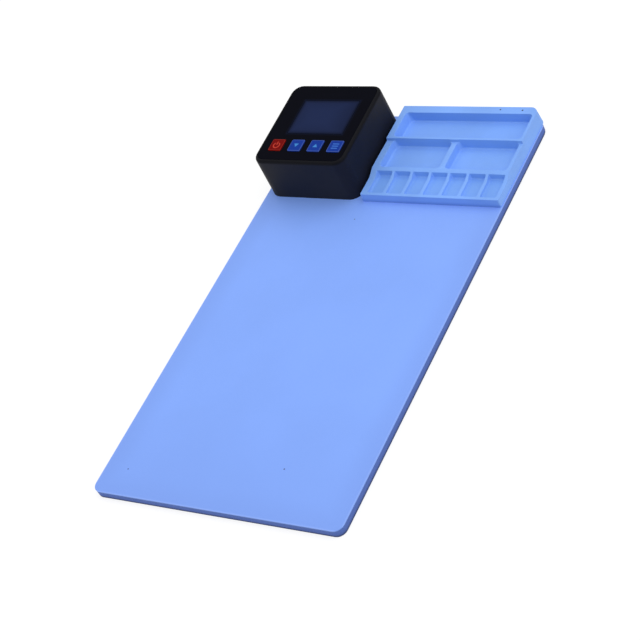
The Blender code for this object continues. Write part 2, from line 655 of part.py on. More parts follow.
def make_housing():
    bottom = mat_top + GAP
    levels = [(case_outline(0), bottom)]
    for i in range(CASE_ROUND_STEPS + 1):
        angle = i / CASE_ROUND_STEPS * pi / 2
        inset = top_draw + CASE_ROUND * (1 - cos(angle))
        levels.append((case_outline(inset), top_plane(CASE_ROUND * (1 - sin(angle)))))
    housing = solid("controller_housing", CASE_BLACK, levels)
    cavity = [(case_outline(CASE_WALL - CASE_DRAFT * BEYOND), bottom - BEYOND),
              (case_outline(CASE_WALL + top_draw), top_plane(-ledge_bottom))]
    cut(housing, [cavity])
    opening = rounded(ledge_width, ledge_depth, max(recess_corner - LEDGE_WIDTH, 2 * GAP))
    cut(housing, [prism(opening, ledge_bottom - BEYOND, ledge_top + BEYOND / 2)], panel_plane)
    recess = rounded(recess_width, recess_depth, recess_corner)
    cut(housing, [prism(recess, ledge_top, BEYOND)], panel_plane)
    boss_bottom = plate_top + GAP
    hole_top = boss_bottom + SCREW_BITE + 2 * GAP
    fuse(housing, [prism(circle(BOSS_R, x, y), boss_bottom, hole_top + BOSS_ROOF) for x, y in boss_places])
    cut(housing, screw_holes(boss_bottom - BEYOND, hole_top, clamp_hole_r))
    cut_back_wall(housing)


def cut_back_wall(housing):
    """Openings for the inlet's body and its two screws, through the back wall."""
    deep = -CASE_WALL - 2 * BEYOND
    body = rounded(INLET_WIDTH + 2 * GAP, INLET_HEIGHT + 2 * GAP, INLET_CORNER)
    holes = [circle(SCREW_R + GAP, side * INLET_SCREW_PITCH / 2) for side in (-1, 1)]
    tool = cut(housing, [prism(outline, deep, BEYOND) for outline in [body, *holes]])
    stand_in_back_wall(tool)


def make_base():
    inset = CASE_WALL + GAP + CASE_DRAFT * PLATE_THICK
    base = solid("controller_base", DARK_PLASTIC, prism(case_outline(inset), plate_bottom, plate_top))
    root = plate_top - PLATE_THICK / 2
    screwed, pegged = pillar_places()
    fuse(base, [prism(circle(PILLAR_R, x, y), root, pillar_top) for x, y in screwed + pegged])
    fuse(base, [prism(circle(SCREW_R, x, y), root, board_top + PEG_PROUD) for x, y in pegged])
    cut(base, screw_holes(plate_bottom - BEYOND, plate_top + BEYOND, clamp_hole_r)
        + [lead_hole(plate_bottom - BEYOND, plate_top + BEYOND)]
        + [prism(circle(SCREW_R + GAP, x, y), pillar_top - BOARD_SCREW_BITE - 2 * GAP, pillar_top + BEYOND)
           for x, y in screwed])


def pillar_places():
    """Places of the screws and of the pegs, at opposite corners of the main board."""
    across = (board_right - board_left) / 2 - PILLAR_INSET
    along = (board_back - board_front) / 2 - PILLAR_INSET
    screwed = [(case_x + i * across, board_y + i * along) for i in (-1, 1)]
    pegged = [(case_x + i * across, board_y - i * along) for i in (-1, 1)]
    return screwed, pegged


# Front panel: its pieces are drawn round the middle of the case's top, with the top at height 0

def key_across(index):
    return key_row_left + index * key_pitch


def standoff_places():
    """Places of the screws and of the pegs that hold the panel board, at opposite corners."""
    across = panel_board_width / 2 - STANDOFF_INSET
    front = -ledge_depth / 2 + STANDOFF_FROM_LEDGE
    back = panel_board_depth / 2 - STANDOFF_INSET
    return [(-across, front), (across, back)], [(across, front), (-across, back)]


def make_panel():
    outline = rounded(recess_width - 2 * GAP, recess_depth - 2 * GAP, max(recess_corner - GAP, GAP))
    panel = solid("front_panel", PANEL_BLACK, prism(outline, -PANEL_THICK, 0), panel_plane)
    screwed, pegged = standoff_places()
    root = -PANEL_THICK / 2
    fuse(panel, [prism(circle(STANDOFF_R, x, y, 12), panel_board_top + GAP, root)
                 for x, y in screwed + pegged], panel_plane)
    fuse(panel, [prism(circle(STANDOFF_SCREW_R, x, y, 12), panel_board_bottom - PEG_PROUD, root)
                 for x, y in pegged], panel_plane)
    openings = [prism(window_outline(GAP), -PANEL_THICK - BEYOND, BEYOND)]
    for index in range(len(key_names)):
        size = KEY_SIZE + 2 * GAP
        hole = rounded(size, size, KEY_CORNER + GAP, key_across(index), key_row_up, 3)
        openings.append(prism(hole, -PANEL_THICK - BEYOND, BEYOND))
    cut(panel, openings, panel_plane)
    cut(panel, [prism(circle(STANDOFF_SCREW_R + GAP, x, y, 12), panel_board_top - BEYOND, -PANEL_THICK - GAP)
                for x, y in screwed], panel_plane)


def window_outline(grown=0.0):
    return rounded(window_width + 2 * grown, window_height + 2 * grown, WINDOW_CORNER + grown,
                   window_across, window_up)


def make_display():
    solid("display_window", WINDOW_NAVY, prism(window_outline(), -PANEL_THICK, 0), panel_plane)
    width, depth = window_width + 2 * FRAME_MARGIN, window_height + 2 * FRAME_MARGIN
    frame_top = ledge_top
    outer = box_outline(width, depth, window_across, window_up)
    frame = solid("display_frame", DARK_PLASTIC, prism(outer, panel_board_top + GAP, frame_top), panel_plane)
    inner = box_outline(width - 2 * FRAME_WALL, depth - 2 * FRAME_WALL, window_across, window_up)
    glass_bottom = frame_top - GLASS_THICK
    cut(frame, [prism(inner, glass_bottom - GAP, frame_top + BEYOND)], panel_plane)
    inset = 2 * FRAME_WALL + 2 * GAP
    glass = box_outline(width - inset, depth - inset, window_across, window_up)
    solid("display_glass", GLASS, prism(glass, glass_bottom, frame_top), panel_plane)


def make_keys():
    for index, name in enumerate(key_names):
        axis = bpy.data.objects.new(f"{name}_key_axis", None)
        bpy.context.scene.collection.objects.link(axis)
        axis.parent = panel_plane
        axis.location = (key_across(index), key_row_up, 0)
        cap = rounded(KEY_SIZE, KEY_SIZE, KEY_CORNER, steps=3)
        soft_cap = rounded(KEY_SIZE - KEY_PROUD, KEY_SIZE - KEY_PROUD, KEY_CORNER - KEY_PROUD / 2, steps=3)
        lip = rounded(lip_size, lip_size, KEY_CORNER, steps=3)
        levels = [(lip, key_bottom), (lip, ledge_top), (cap, ledge_top), (cap, KEY_PROUD / 2),
                  (soft_cap, KEY_PROUD)]
        key = solid(f"{name}_key", KEY_RED if name == "power" else KEY_BLUE, levels, axis)
        fuse(key, [prism(circle(KEY_STEM_R, steps=12), stem_bottom, key_bottom + KEY_FLANGE_THICK / 2)], axis)


def make_switches():
    for index, name in enumerate(key_names):
        x, y = key_across(index), key_row_up
        outline = box_outline(SWITCH_SIZE, SWITCH_SIZE, x, y)
        body = solid(f"{name}_switch", STEEL, prism(outline, switch_bottom, switch_top), panel_plane)
        bore = circle(KEY_STEM_R + GAP, x, y, 12)
        cut(body, [prism(bore, switch_bottom + SWITCH_FLOOR, switch_top + BEYOND)], panel_plane)


def make_panel_board():
    outline = box_outline(panel_board_width, panel_board_depth)
    levels = prism(outline, panel_board_bottom, panel_board_top)
    board = solid("panel_board", BOARD_GREEN, levels, panel_plane)
    screwed, pegged = standoff_places()
    low, high = panel_board_bottom - BEYOND, panel_board_top + BEYOND
    cut(board, [prism(circle(STANDOFF_SCREW_R + GAP, x, y, 12), low, high) for x, y in screwed + pegged],
        panel_plane)
    head = panel_board_bottom - GAP - STANDOFF_HEAD_THICK
    tip = -PANEL_THICK - 2 * GAP
    for i, (x, y) in enumerate(screwed):
        levels = screw(x, y, head, STANDOFF_HEAD_THICK, STANDOFF_HEAD_R, STANDOFF_SCREW_R, tip)
        solid(f"panel_board_screw_{i + 1}", STEEL, levels, panel_plane, smooth=True)
    chip = (CHIP_SIZE, CHIP_SIZE, CHIP_THICK)
    solid("control_chip", DARK_PLASTIC, block(chip, 0, 0, panel_board_bottom - GAP - CHIP_THICK), panel_plane)


# Main board

def make_main_board():
    outline = box_outline(board_right - board_left, board_back - board_front, case_x, board_y)
    board = solid("main_board", BOARD_GREEN, prism(outline, board_bottom, board_top))
    screwed, pegged = pillar_places()
    cut(board, [prism(circle(SCREW_R + GAP, x, y), board_bottom - BEYOND, board_top + BEYOND)
                for x, y in screwed + pegged])
    tip = pillar_top - BOARD_SCREW_BITE
    for i, (x, y) in enumerate(screwed):
        levels = screw(x, y, parts_bottom, BOARD_HEAD_THICK, BOARD_HEAD_R, SCREW_R, tip)
        solid(f"main_board_screw_{i + 1}", STEEL, levels, smooth=True)


def headroom_height(y, headroom):
    """Height of a piece on the main board that stops headroom below the panel board."""
    return top_plane(-panel_board_bottom)(y) - headroom - parts_bottom


def make_board_parts():
    left = board_left + PARTS_APART
    row = parts_back - FUSE_R
    can = circle(FUSE_R, left + FUSE_R, row)
    solid("fuse", DARK_PLASTIC, prism(can, parts_bottom, parts_bottom + FUSE_HEIGHT), smooth=True)
    can = circle(CAPACITOR_R, left + 2 * FUSE_R + PARTS_APART + CAPACITOR_R, row)
    levels = prism(can, parts_bottom, parts_bottom + CAPACITOR_HEIGHT)
    solid("filter_capacitor", DARK_PLASTIC, levels, smooth=True)
    depth = row - FUSE_R - PARTS_APART - parts_front
    y = parts_front + depth / 2
    size = (column_left - left, depth, headroom_height(parts_front, MODULE_HEADROOM))
    solid("power_module", DARK_PLASTIC, block(size, (left + column_left) / 2, y, parts_bottom))
    solid("sensor_plug", WHITE_PLASTIC, block(SENSOR_PLUG_SIZE, plug_x, plug_y, parts_bottom))
    make_terminals()
    make_triac()


def make_terminals():
    output = solid("output_terminal", GREEN_PLASTIC, block(OUTPUT_SIZE, case_x, output_y, parts_bottom))
    entries = [(case_x + side * LEAD_SPREAD / 2, parts_bottom + OUTPUT_ENTRY_UP) for side in (-1, 1)]
    face = output_y - OUTPUT_SIZE[1] / 2
    bore_along_y(output, entries, HEATER_LEAD_R + GAP, face - BEYOND, face + LEAD_ENTRY + GAP)
    mains = solid("mains_terminal", GREEN_PLASTIC, block(MAINS_SIZE, case_x, mains_y, parts_bottom))
    entries = [(case_x + i * MAINS_ENTRY_PITCH, parts_bottom + MAINS_ENTRY_UP) for i in (-1, 0, 1)]
    face = mains_y + MAINS_SIZE[1] / 2
    bore_along_y(mains, entries, MAINS_WIRE_R + GAP, face - LEAD_ENTRY - GAP, face + BEYOND)


def bore_along_y(target, places, radius, start, end):
    """Round blind holes along Y, at (x, z) places."""
    bm = bmesh.new()
    for x, z in places:
        ring = circle(radius, x, z, 12)
        rings = [[bm.verts.new((px, y, pz)) for px, pz in ring] for y in (start, end)]
        bm.faces.new(rings[0])
        bm.faces.new(list(reversed(rings[1])))
        for i in range(12):
            bm.faces.new((rings[0][i - 1], rings[0][i], rings[1][i], rings[1][i - 1]))
    combine(target, "DIFFERENCE", finish_object(f"{target.name}_entries", bm, None))


def make_triac():
    """Triac on its legs, with a finned heatsink behind it."""
    left, right = column_right, board_right - PARTS_APART
    front = parts_front + TRIAC_SIZE[1] + GAP
    root = front + SINK_BACK
    back = front + SINK_DEPTH
    comb = [(left, front), (right, front)]
    pitch = (right - left - FIN_THICK) / (SINK_FINS - 1)
    for fin in reversed(range(SINK_FINS)):
        side = left + fin * pitch
        comb += [(side + FIN_THICK, back), (side, back)]
        if fin:
            comb += [(side, root), (side - pitch + FIN_THICK, root)]
    height = headroom_height(parts_front, SINK_HEADROOM)
    solid("triac_heatsink", ALUMINIUM, prism(comb, parts_bottom, parts_bottom + height))
    x, y = (left + right) / 2, parts_front + TRIAC_SIZE[1] / 2
    triac = solid("triac", DARK_PLASTIC, block(TRIAC_SIZE, x, y, parts_bottom + TRIAC_UP))
    fuse(triac, [block((LEG_WIDTH, LEG_WIDTH, TRIAC_UP + LEG_WIDTH), x + i * LEG_PITCH, y, parts_bottom)
                 for i in (-1, 0, 1)])


def make_ribbon():
    """Flat cable from the main board up to the panel board, with a socket at each end."""
    x, y = ribbon_x, ribbon_y
    width, depth, height = RIBBON_SOCKET
    start = parts_bottom + height + GAP
    end = top_plane(-panel_board_bottom)(y) - 2 * GAP - height
    solid("ribbon_socket_lower", WHITE_PLASTIC, block(RIBBON_SOCKET, x, y, parts_bottom))
    outline = box_outline(width, depth, x, y)
    solid("ribbon_socket_upper", WHITE_PLASTIC,
          [(outline, end + GAP), (outline, top_plane(GAP - panel_board_bottom))])
    steps = 14
    path = []
    for i in range(steps + 1):
        t = i / steps
        path.append((start + (end - start) * t, -RIBBON_BULGE * sin(pi * t) ** 2))
    bm = bmesh.new()
    add_strip(bm, path, RIBBON_THICK, -RIBBON_WIDTH / 2, RIBBON_WIDTH / 2)
    for vert in bm.verts:
        vert.co = Vector((x + vert.co.z, y + vert.co.y, vert.co.x))
    finish_object("ribbon_cable", bm, WIRE_WHITE)


# Mains inlet: drawn lying, with its outer face up, then stood in the back wall

pin_names = ("neutral", "earth", "live")


def stand_in_back_wall(piece):
    """Stands up a piece drawn with x across, y up and height out of the back wall's outer face."""
    piece.location = (case_x, wall_y, inlet_z)
    piece.rotation_euler = (pi / 2, 0, pi)
    return piece


def make_inlet():
    face, front, back = flange_back, flange_front, inlet_back
    body = rounded(INLET_WIDTH, INLET_HEIGHT, INLET_CORNER)
    flange = rounded(FLANGE_WIDTH, FLANGE_HEIGHT, FLANGE_CORNER)
    inlet = stand_in_back_wall(solid("power_inlet", DARK_PLASTIC, [(body, back), (body, face)]))
    stand_in_back_wall(fuse(inlet, [prism(flange, face, front)]))
    stand_in_back_wall(fuse(inlet, [prism(body, face - BEYOND, front - FLANGE_THICK / 2)]))
    low, side, high = -SOCKET_HEIGHT / 2, SOCKET_WIDTH / 2, SOCKET_HEIGHT / 2
    cant = SOCKET_HEIGHT * 0.3
    socket = [(-side, low), (side, low), (side, high - cant), (side - cant, high), (-side + cant, high),
              (-side, high - cant)]
    blades = [(-BLADE_PITCH, -EARTH_UP), (0, EARTH_UP), (BLADE_PITCH, -EARTH_UP)]
    slots = [prism(box_outline(BLADE_WIDTH + 2 * GAP, BLADE_HEIGHT + 2 * GAP, x, y), back - BEYOND,
                   front - SOCKET_DEPTH + BEYOND) for x, y in blades]
    holes = [prism(circle(SCREW_R + GAP, i * INLET_SCREW_PITCH / 2, 0), face - BEYOND, front + BEYOND)
             for i in (-1, 1)]
    floor = front - SOCKET_DEPTH
    for stacks in ([prism(socket, floor, front + BEYOND)] + holes, slots):
        stand_in_back_wall(cut(inlet, stacks))
    for name, (x, y) in zip(pin_names, blades):
        outline = box_outline(BLADE_WIDTH, BLADE_HEIGHT, x, y)
        levels = prism(outline, back - TAB_LENGTH, floor + BLADE_LENGTH)
        stand_in_back_wall(solid(f"{name}_pin", BRASS, levels))
    for i in (-1, 1):
        levels = screw(i * INLET_SCREW_PITCH / 2, 0, front + GAP, INLET_HEAD_THICK, INLET_HEAD_R, SCREW_R,
                       front - INLET_SCREW_LENGTH)
        stand_in_back_wall(solid(f"inlet_screw_{(i + 3) // 2}", STEEL, levels, smooth=True))
    make_mains_wires(wall_y + back - TAB_LENGTH - GAP, blades)


def make_mains_wires(tab_y, blades):
    end_y = mains_y + MAINS_SIZE[1] / 2 - LEAD_ENTRY
    end_z = parts_bottom + MAINS_ENTRY_UP
    for i, (name, (across, up)) in enumerate(zip(pin_names, blades)):
        # the blades are drawn as seen from behind, so their left is the case's right
        start = Vector((case_x - across, tab_y, inlet_z + up))
        end = Vector((case_x + (1 - i) * MAINS_ENTRY_PITCH, end_y, end_z))
        lead = Vector((0, MAINS_WIRE_LEAD, 0))
        wire(f"{name}_wire", WIRE_RED, [start, start - lead, end + lead * 2, end], MAINS_WIRE_R)


# Parts tray

tray_left = case_right + TRAY_TO_CASE
tray_right = MAT_WIDTH / 2 - TRAY_INSET
tray_back = MAT_LENGTH / 2
tray_front = tray_back - TRAY_DEPTH
tray_bottom = mat_top + GAP


def tray_outline(inset):
    radii = (TRAY_FRONT_CORNER, TRAY_FRONT_CORNER, MAT_CORNER, TRAY_BACK_CORNER)
    return rounded_box(tray_left + inset, tray_right - inset, tray_front + inset, tray_back - inset,
                       [max(r - inset / 2, GAP) for r in radii])


def row_spans():
    """(front, back) of each row of compartments, from the back row to the front one."""
    spans = []
    back = tray_back - TRAY_BACK_RIM
    for i, depth in enumerate(ROW_DEPTHS):
        spans.append((back - depth, back))
        back -= depth + (ROW_WALLS[i] if i < len(ROW_WALLS) else 0)
    return spans


def row_cells(row):
    """(left, right) of each compartment of a row."""
    left, right = tray_left + ROW_LEFT_RIMS[row], tray_right - ROW_RIGHT_RIMS[row]
    count, rib = ROW_COUNTS[row], ROW_RIBS[row]
    width = (right - left - (count - 1) * rib) / count
    return [(left + i * (width + rib), left + i * (width + rib) + width) for i in range(count)]


def tray_profile():
    """Top line of the tray as (y, height) points, from the back to the front."""
    high, middle, low = (tray_bottom + h for h in TRAY_HEIGHTS)
    spans = row_spans()
    step = spans[1][1] - STEP_INSIDE
    ramp = spans[1][0] - RAMP_AHEAD
    return [(step + STEP_RUN, high), (step, middle), (ramp, middle), (ramp - RAMP_RUN, low)]


def make_tray():
    high = TRAY_HEIGHTS[0]
    tray = solid("parts_tray", TRAY_BLUE, [(tray_outline(0), tray_bottom),
                                           (tray_outline(TRAY_DRAFT * high), tray_bottom + high)])
    profile = tray_profile()
    sky = tray_bottom + high + BEYOND
    # the air over the lower levels, as one prism across the tray
    rise = (profile[0][1] - profile[1][1]) / STEP_RUN
    over = (profile[0][0] + BEYOND / rise, profile[0][1] + BEYOND)
    edge = [(tray_front - BEYOND, profile[-1][1]), *reversed(profile), over, (tray_front - BEYOND, sky)]
    bm = bmesh.new()
    ends = [[bm.verts.new((x, y, z)) for y, z in edge] for x in (tray_left - BEYOND, tray_right + BEYOND)]
    bm.faces.new(ends[0])
    bm.faces.new(list(reversed(ends[1])))
    for i in range(len(edge)):
        bm.faces.new((ends[0][i - 1], ends[0][i], ends[1][i], ends[1][i - 1]))
    combine(tray, "DIFFERENCE", finish_object("parts_tray_air", bm, None))
    floor = tray_bottom + TRAY_FLOOR
    cells = []
    for row, (front, back) in enumerate(row_spans()):
        deep = TRAY_HEIGHTS[row] - TRAY_FLOOR
        over = TRAY_HEIGHTS[max(row - 1, 0)] + GAP - TRAY_HEIGHTS[row]
        for left, right in row_cells(row):
            outlines = []
            for rise, share in ((-deep, 1), (over, MOUTH_CORNER)):
                side, end = rise * SIDE_DRAFT, rise * END_DRAFT
                outlines.append(rounded_box(left - side, right + side, front - end, back + end,
                                            [ROW_CORNERS[row] * share] * 4, 4))
            cells.append([(outlines[0], floor), (outlines[1], floor + deep + over)])
    for row_of_cells in (cells[:1], cells[1:3], cells[3:]):
        cut(tray, row_of_cells)
    hollow = rounded_box(tray_left + TAPE_MARGIN, tray_right - TAPE_MARGIN, tray_front + TAPE_MARGIN,
                         tray_back - TAPE_MARGIN, [2 * MM] * 4, 2)
    cut(tray, [prism(hollow, tray_bottom - BEYOND, tray_bottom + TAPE_THICK + GAP)])
    tape = rounded_box(tray_left + TAPE_MARGIN + GAP, tray_right - TAPE_MARGIN - GAP,
                       tray_front + TAPE_MARGIN + GAP, tray_back - TAPE_MARGIN - GAP, [2 * MM - GAP] * 4, 2)
    solid("tray_tape", TAPE, prism(tape, tray_bottom, tray_bottom + TAPE_THICK))


make_skin()
make_core()
make_backing()
make_sheet()
make_clamp_screws()
make_heater()
make_sensor()
make_leads()
make_housing()
make_base()
make_panel()
make_display()
make_keys()
make_switches()
make_panel_board()
make_main_board()
make_board_parts()
make_ribbon()
make_inlet()
make_tray()
bpy.context.view_layer.update()
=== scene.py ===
import json
from math import atan2, cos, pi, radians, sin, tan

import bmesh
import bpy
from mathutils import Matrix, Vector


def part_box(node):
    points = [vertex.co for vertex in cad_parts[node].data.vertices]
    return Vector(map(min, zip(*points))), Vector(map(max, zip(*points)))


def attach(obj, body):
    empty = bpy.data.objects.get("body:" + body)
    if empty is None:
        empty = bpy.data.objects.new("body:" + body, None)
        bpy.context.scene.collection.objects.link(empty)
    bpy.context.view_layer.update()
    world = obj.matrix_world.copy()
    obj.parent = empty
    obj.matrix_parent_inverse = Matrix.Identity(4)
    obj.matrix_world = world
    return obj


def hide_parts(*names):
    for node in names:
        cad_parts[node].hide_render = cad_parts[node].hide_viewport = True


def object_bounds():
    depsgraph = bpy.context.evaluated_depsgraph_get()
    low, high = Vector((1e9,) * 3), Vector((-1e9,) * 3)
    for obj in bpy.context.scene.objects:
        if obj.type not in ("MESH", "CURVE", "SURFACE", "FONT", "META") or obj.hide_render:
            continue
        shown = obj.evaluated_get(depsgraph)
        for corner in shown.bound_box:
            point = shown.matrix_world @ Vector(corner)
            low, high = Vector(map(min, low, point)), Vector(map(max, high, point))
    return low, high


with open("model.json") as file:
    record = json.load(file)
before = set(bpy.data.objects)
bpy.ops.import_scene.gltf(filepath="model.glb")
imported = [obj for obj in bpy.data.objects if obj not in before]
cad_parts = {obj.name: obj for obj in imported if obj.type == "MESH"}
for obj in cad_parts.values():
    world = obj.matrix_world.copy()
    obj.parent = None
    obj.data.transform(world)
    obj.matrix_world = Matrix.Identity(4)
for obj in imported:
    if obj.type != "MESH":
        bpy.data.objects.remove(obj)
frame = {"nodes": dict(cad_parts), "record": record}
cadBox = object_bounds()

nodes = frame["nodes"]
scene = bpy.context.scene
scene.view_settings.view_transform = "Standard"
mm = 0.001
hair = 0.01 * mm        # tolerance of a height
settle = 0.27 * mm      # how far a piece's foot is drawn down to what carries it

silicone = {
    "grain": (1300, 3, 0.6),        # scale, detail and roughness of its fine noise
    "bump": (0.25, 0.03 * mm),      # strength and depth of that noise
    "roughGrain": 0.14,
    "point": (0.5, 0.66, 1.0, 1),   # its fine light points
    "gloss": {"Specular IOR Level": 0.35, "Sheen Weight": 0.05},
}


class Shade:
    # one socket of a material, so that shader maths reads as plain arithmetic
    def __init__(self, socket):
        self.socket = socket

    def node(self, kind, settings=None, sockets=None, outlet=0):
        tree = self.socket.id_data
        made = tree.nodes.new("ShaderNode" + kind)
        for name, value in (settings or {}).items():
            setattr(made, name, value)
        for name, value in (sockets or {}).items():
            if isinstance(value, Shade):
                tree.links.new(value.socket, made.inputs[name])
            else:
                made.inputs[name].default_value = value
        return Shade(made.outputs[outlet])

    def maths(self, operation, first, second=0.0):
        return self.node("Math", {"operation": operation}, {0: first, 1: second})

    def __add__(self, other):
        return self.maths("ADD", self, other)

    def __sub__(self, other):
        return self.maths("SUBTRACT", self, other)

    def __rsub__(self, other):
        return self.maths("SUBTRACT", other, self)

    def __mul__(self, other):
        return self.maths("MULTIPLY", self, other)

    def __abs__(self):
        return self.maths("ABSOLUTE", self)

    __radd__ = __add__
    __rmul__ = __mul__

    def most(self, other):
        return self.maths("MAXIMUM", self, other)

    def rise(self, low, high):
        # 0 below low, 1 above high, smooth between
        return self.node("MapRange", {"interpolation_type": "SMOOTHSTEP"},
                         {"Value": self, "From Min": low, "From Max": high})

    def noise(self, scale, detail=2.0, roughness=0.5):
        return self.node("TexNoise", None,
                         {"Vector": self, "Scale": scale, "Detail": detail, "Roughness": roughness})

    def axes(self):
        parts = self.node("SeparateXYZ", None, {0: self}).socket.node.outputs
        return [Shade(part) for part in parts]

    def near(self, point, radius):
        # 1 at a point, falling to 0 at radius from it
        away = self.node("VectorMath", {"operation": "DISTANCE"}, {0: self, 1: point}, "Value")
        return 1 - away.rise(radius * 0.4, radius)

    def blend(self, first, second):
        return self.node("Mix", {"data_type": "RGBA"}, {0: self, 6: first, 7: second}, 2)

    def bump(self, strength, depth):
        return self.node("Bump", None, {"Strength": strength, "Distance": depth, "Height": self})


def tone(red, green, blue, light=1.0):
    # linear colour of an sRGB tone as it is seen where the light has this strength
    values = [c / 255 / 12.92 if c < 10.4 else ((c / 255 + 0.055) / 1.055) ** 2.4 for c in (red, green, blue)]
    return (*[value / light for value in values], 1.0)


def scaled(color, share):
    return (*[min(1, value * share) for value in color[:3]], 1.0)


def makeFinish(name, steady, shading):
    # steady: values of the shader's own sockets. shading: what varies over the surface
    material = bpy.data.materials.new(name)
    material.use_nodes = True
    tree = material.node_tree
    shader = tree.nodes["Principled BSDF"]
    for key, value in steady.items():
        shader.inputs[key].default_value = value
    place = Shade(tree.nodes.new("ShaderNodeTexCoord").outputs["Object"])
    for key, value in shading(place).items():
        tree.links.new(value.socket, shader.inputs[key])
    return material


def siliconeLook(color, rough, grain):
    return {"Base Color": color, "Roughness": rough + grain * silicone["roughGrain"],
            "Normal": grain.bump(*silicone["bump"])}


# Camera, light and floor

camera = {
    "place": (0.6922, -0.6427, 0.81185),
    "turn": 47.77,          # degrees about the vertical
    "down": 40.93,
    "roll": -30.59,
    "lens": 101.28,         # mm
    "sensor": 36.0,
    "reach": 60.0,          # metres that it sees
}

studio = {
    "skyLight": 0.80,
    "keyPlace": (1.1, 0.6, 2.3),
    "keySize": 3.4,
    "keyPower": 24.5,
    "floorTone": (0.80, 0.80, 0.80, 1),
    "floorGlow": 0.76,      # how white the floor looks where it is in shadow
    "floorWhite": 1.06,     # its glow and its own light together
    "floorSize": 30.0,
}


def makeCamera():
    data = bpy.data.cameras.new("viewCamera")
    data.sensor_width = camera["sensor"]
    data.lens = camera["lens"]
    data.clip_end = camera["reach"]
    holder = bpy.data.objects.new("viewCamera", data)
    scene.collection.objects.link(holder)
    aim = (Matrix.Rotation(radians(camera["turn"]), 4, "Z")
           @ Matrix.Rotation(radians(90 - camera["down"]), 4, "X")
           @ Matrix.Rotation(radians(camera["roll"]), 4, "Z"))
    holder.matrix_world = Matrix.Translation(camera["place"]) @ aim
    scene.camera = holder


def makeKeyLight():
    data = bpy.data.lights.new("keyLight", "AREA")
    data.shape = "DISK"
    data.size = studio["keySize"]
    data.energy = studio["keyPower"]
    holder = bpy.data.objects.new("keyLight", data)
    scene.collection.objects.link(holder)
    place = Vector(studio["keyPlace"])
    holder.matrix_world = Matrix.Translation(place) @ (-place).to_track_quat("-Z", "Y").to_matrix().to_4x4()


def seenAsBackdrop(tree):
    # 1 for the camera, for a reflection and through a clear pane
    rays = tree.nodes.new("ShaderNodeLightPath").outputs
    seen, mirrored, passed = [Shade(rays[f"Is {kind} Ray"]) for kind in ("Camera", "Glossy", "Transmission")]
    return seen.most(mirrored).most(passed)


def makeSky():
    world = bpy.data.worlds.new("studioSky")
    world.use_nodes = True
    scene.world = world
    tree = world.node_tree
    tree.nodes.clear()
    seen = seenAsBackdrop(tree)
    light = seen.node("Background", None, {"Color": (1, 1, 1, 1), "Strength": studio["skyLight"]})
    white = seen.node("Background", None, {"Color": (1, 1, 1, 1), "Strength": 1.0})
    sky = seen.node("MixShader", None, {0: seen, 1: light, 2: white})
    out = tree.nodes.new("ShaderNodeOutputWorld")
    tree.links.new(sky.socket, out.inputs["Surface"])


def makeFloor():
    half = studio["floorSize"] / 2
    mesh = bpy.data.meshes.new("floor")
    corners = [(-half, -half, 0), (half, -half, 0), (half, half, 0), (-half, half, 0)]
    mesh.from_pydata(corners, [], [(0, 1, 2, 3)])
    floor = bpy.data.objects.new("floor", mesh)
    scene.collection.objects.link(floor)
    material = bpy.data.materials.new("paleFloor")
    material.use_nodes = True
    tree = material.node_tree
    tree.nodes.clear()
    seen = seenAsBackdrop(tree)
    plain = seen.node("BsdfDiffuse", None, {"Color": studio["floorTone"]})
    glow = seen.node("Emission", None, {"Color": (1, 1, 1, 1), "Strength": studio["floorGlow"]})
    shadowed = studio["floorWhite"] - studio["floorGlow"]
    soft = seen.node("BsdfDiffuse", None, {"Color": (shadowed, shadowed, shadowed, 1)})
    white = seen.node("AddShader", None, {0: glow, 1: soft})
    look = seen.node("MixShader", None, {0: seen, 1: plain, 2: white})
    out = tree.nodes.new("ShaderNodeOutputMaterial")
    tree.links.new(look.socket, out.inputs["Surface"])
    mesh.materials.append(material)


makeCamera()
makeKeyLight()
makeSky()
makeFloor()
print("camera, light and floor are set")


# Pieces: each starts from its CAD solid, welded, and gets its real edges

weld = {
    "within": 0.004 * mm,
    "flat": 0.5,            # degrees up to which faces become one
}


def solidFrom(nodeName):
    mesh = bmesh.new()
    mesh.from_mesh(nodes[nodeName].data)
    for layer in list(mesh.loops.layers.uv):
        mesh.loops.layers.uv.remove(layer)
    bmesh.ops.remove_doubles(mesh, verts=mesh.verts, dist=weld["within"])
    bmesh.ops.dissolve_limit(mesh, angle_limit=radians(weld["flat"]), verts=mesh.verts, edges=mesh.edges)
    for face in mesh.faces:
        face.material_index = 0
    return mesh


def slide(mesh, low, high, by):
    # moves the points whose height is between low and high
    for vert in mesh.verts:
        if low <= vert.co.z <= high:
            vert.co.z += by


def roundEdges(mesh, width, segments, wanted, least=30):
    # rounds the edges that turn by more than least degrees and that wanted picks by their middle
    picked = []
    for edge in mesh.edges:
        if len(edge.link_faces) != 2 or edge.calc_face_angle(0) < radians(least):
            continue
        middle = (edge.verts[0].co + edge.verts[1].co) / 2
        if wanted(middle, edge.calc_face_angle_signed(0) > 0):
            picked.append(edge)
    bmesh.ops.bevel(mesh, geom=picked, offset=width, offset_type="OFFSET", segments=segments, profile=0.5,
                    affect="EDGES", clamp_overlap=True, loop_slide=True)


def placePiece(name, mesh, material, body, replaced, crease):
    # crease: degrees from which an edge stays sharp
    data = bpy.data.meshes.new(name)
    bmesh.ops.recalc_face_normals(mesh, faces=mesh.faces[:])
    for face in mesh.faces:
        face.smooth = True
    for edge in mesh.edges:
        edge.smooth = edge.calc_face_angle(pi) < radians(crease)
    mesh.to_mesh(data)
    mesh.free()
    data.materials.append(material)
    piece = bpy.data.objects.new(name, data)
    scene.collection.objects.link(piece)
    even = piece.modifiers.new("evenShading", "WEIGHTED_NORMAL")
    even.keep_sharp = True
    even.weight = 60
    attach(piece, body)
    if replaced:
        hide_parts(*replaced)
    return piece


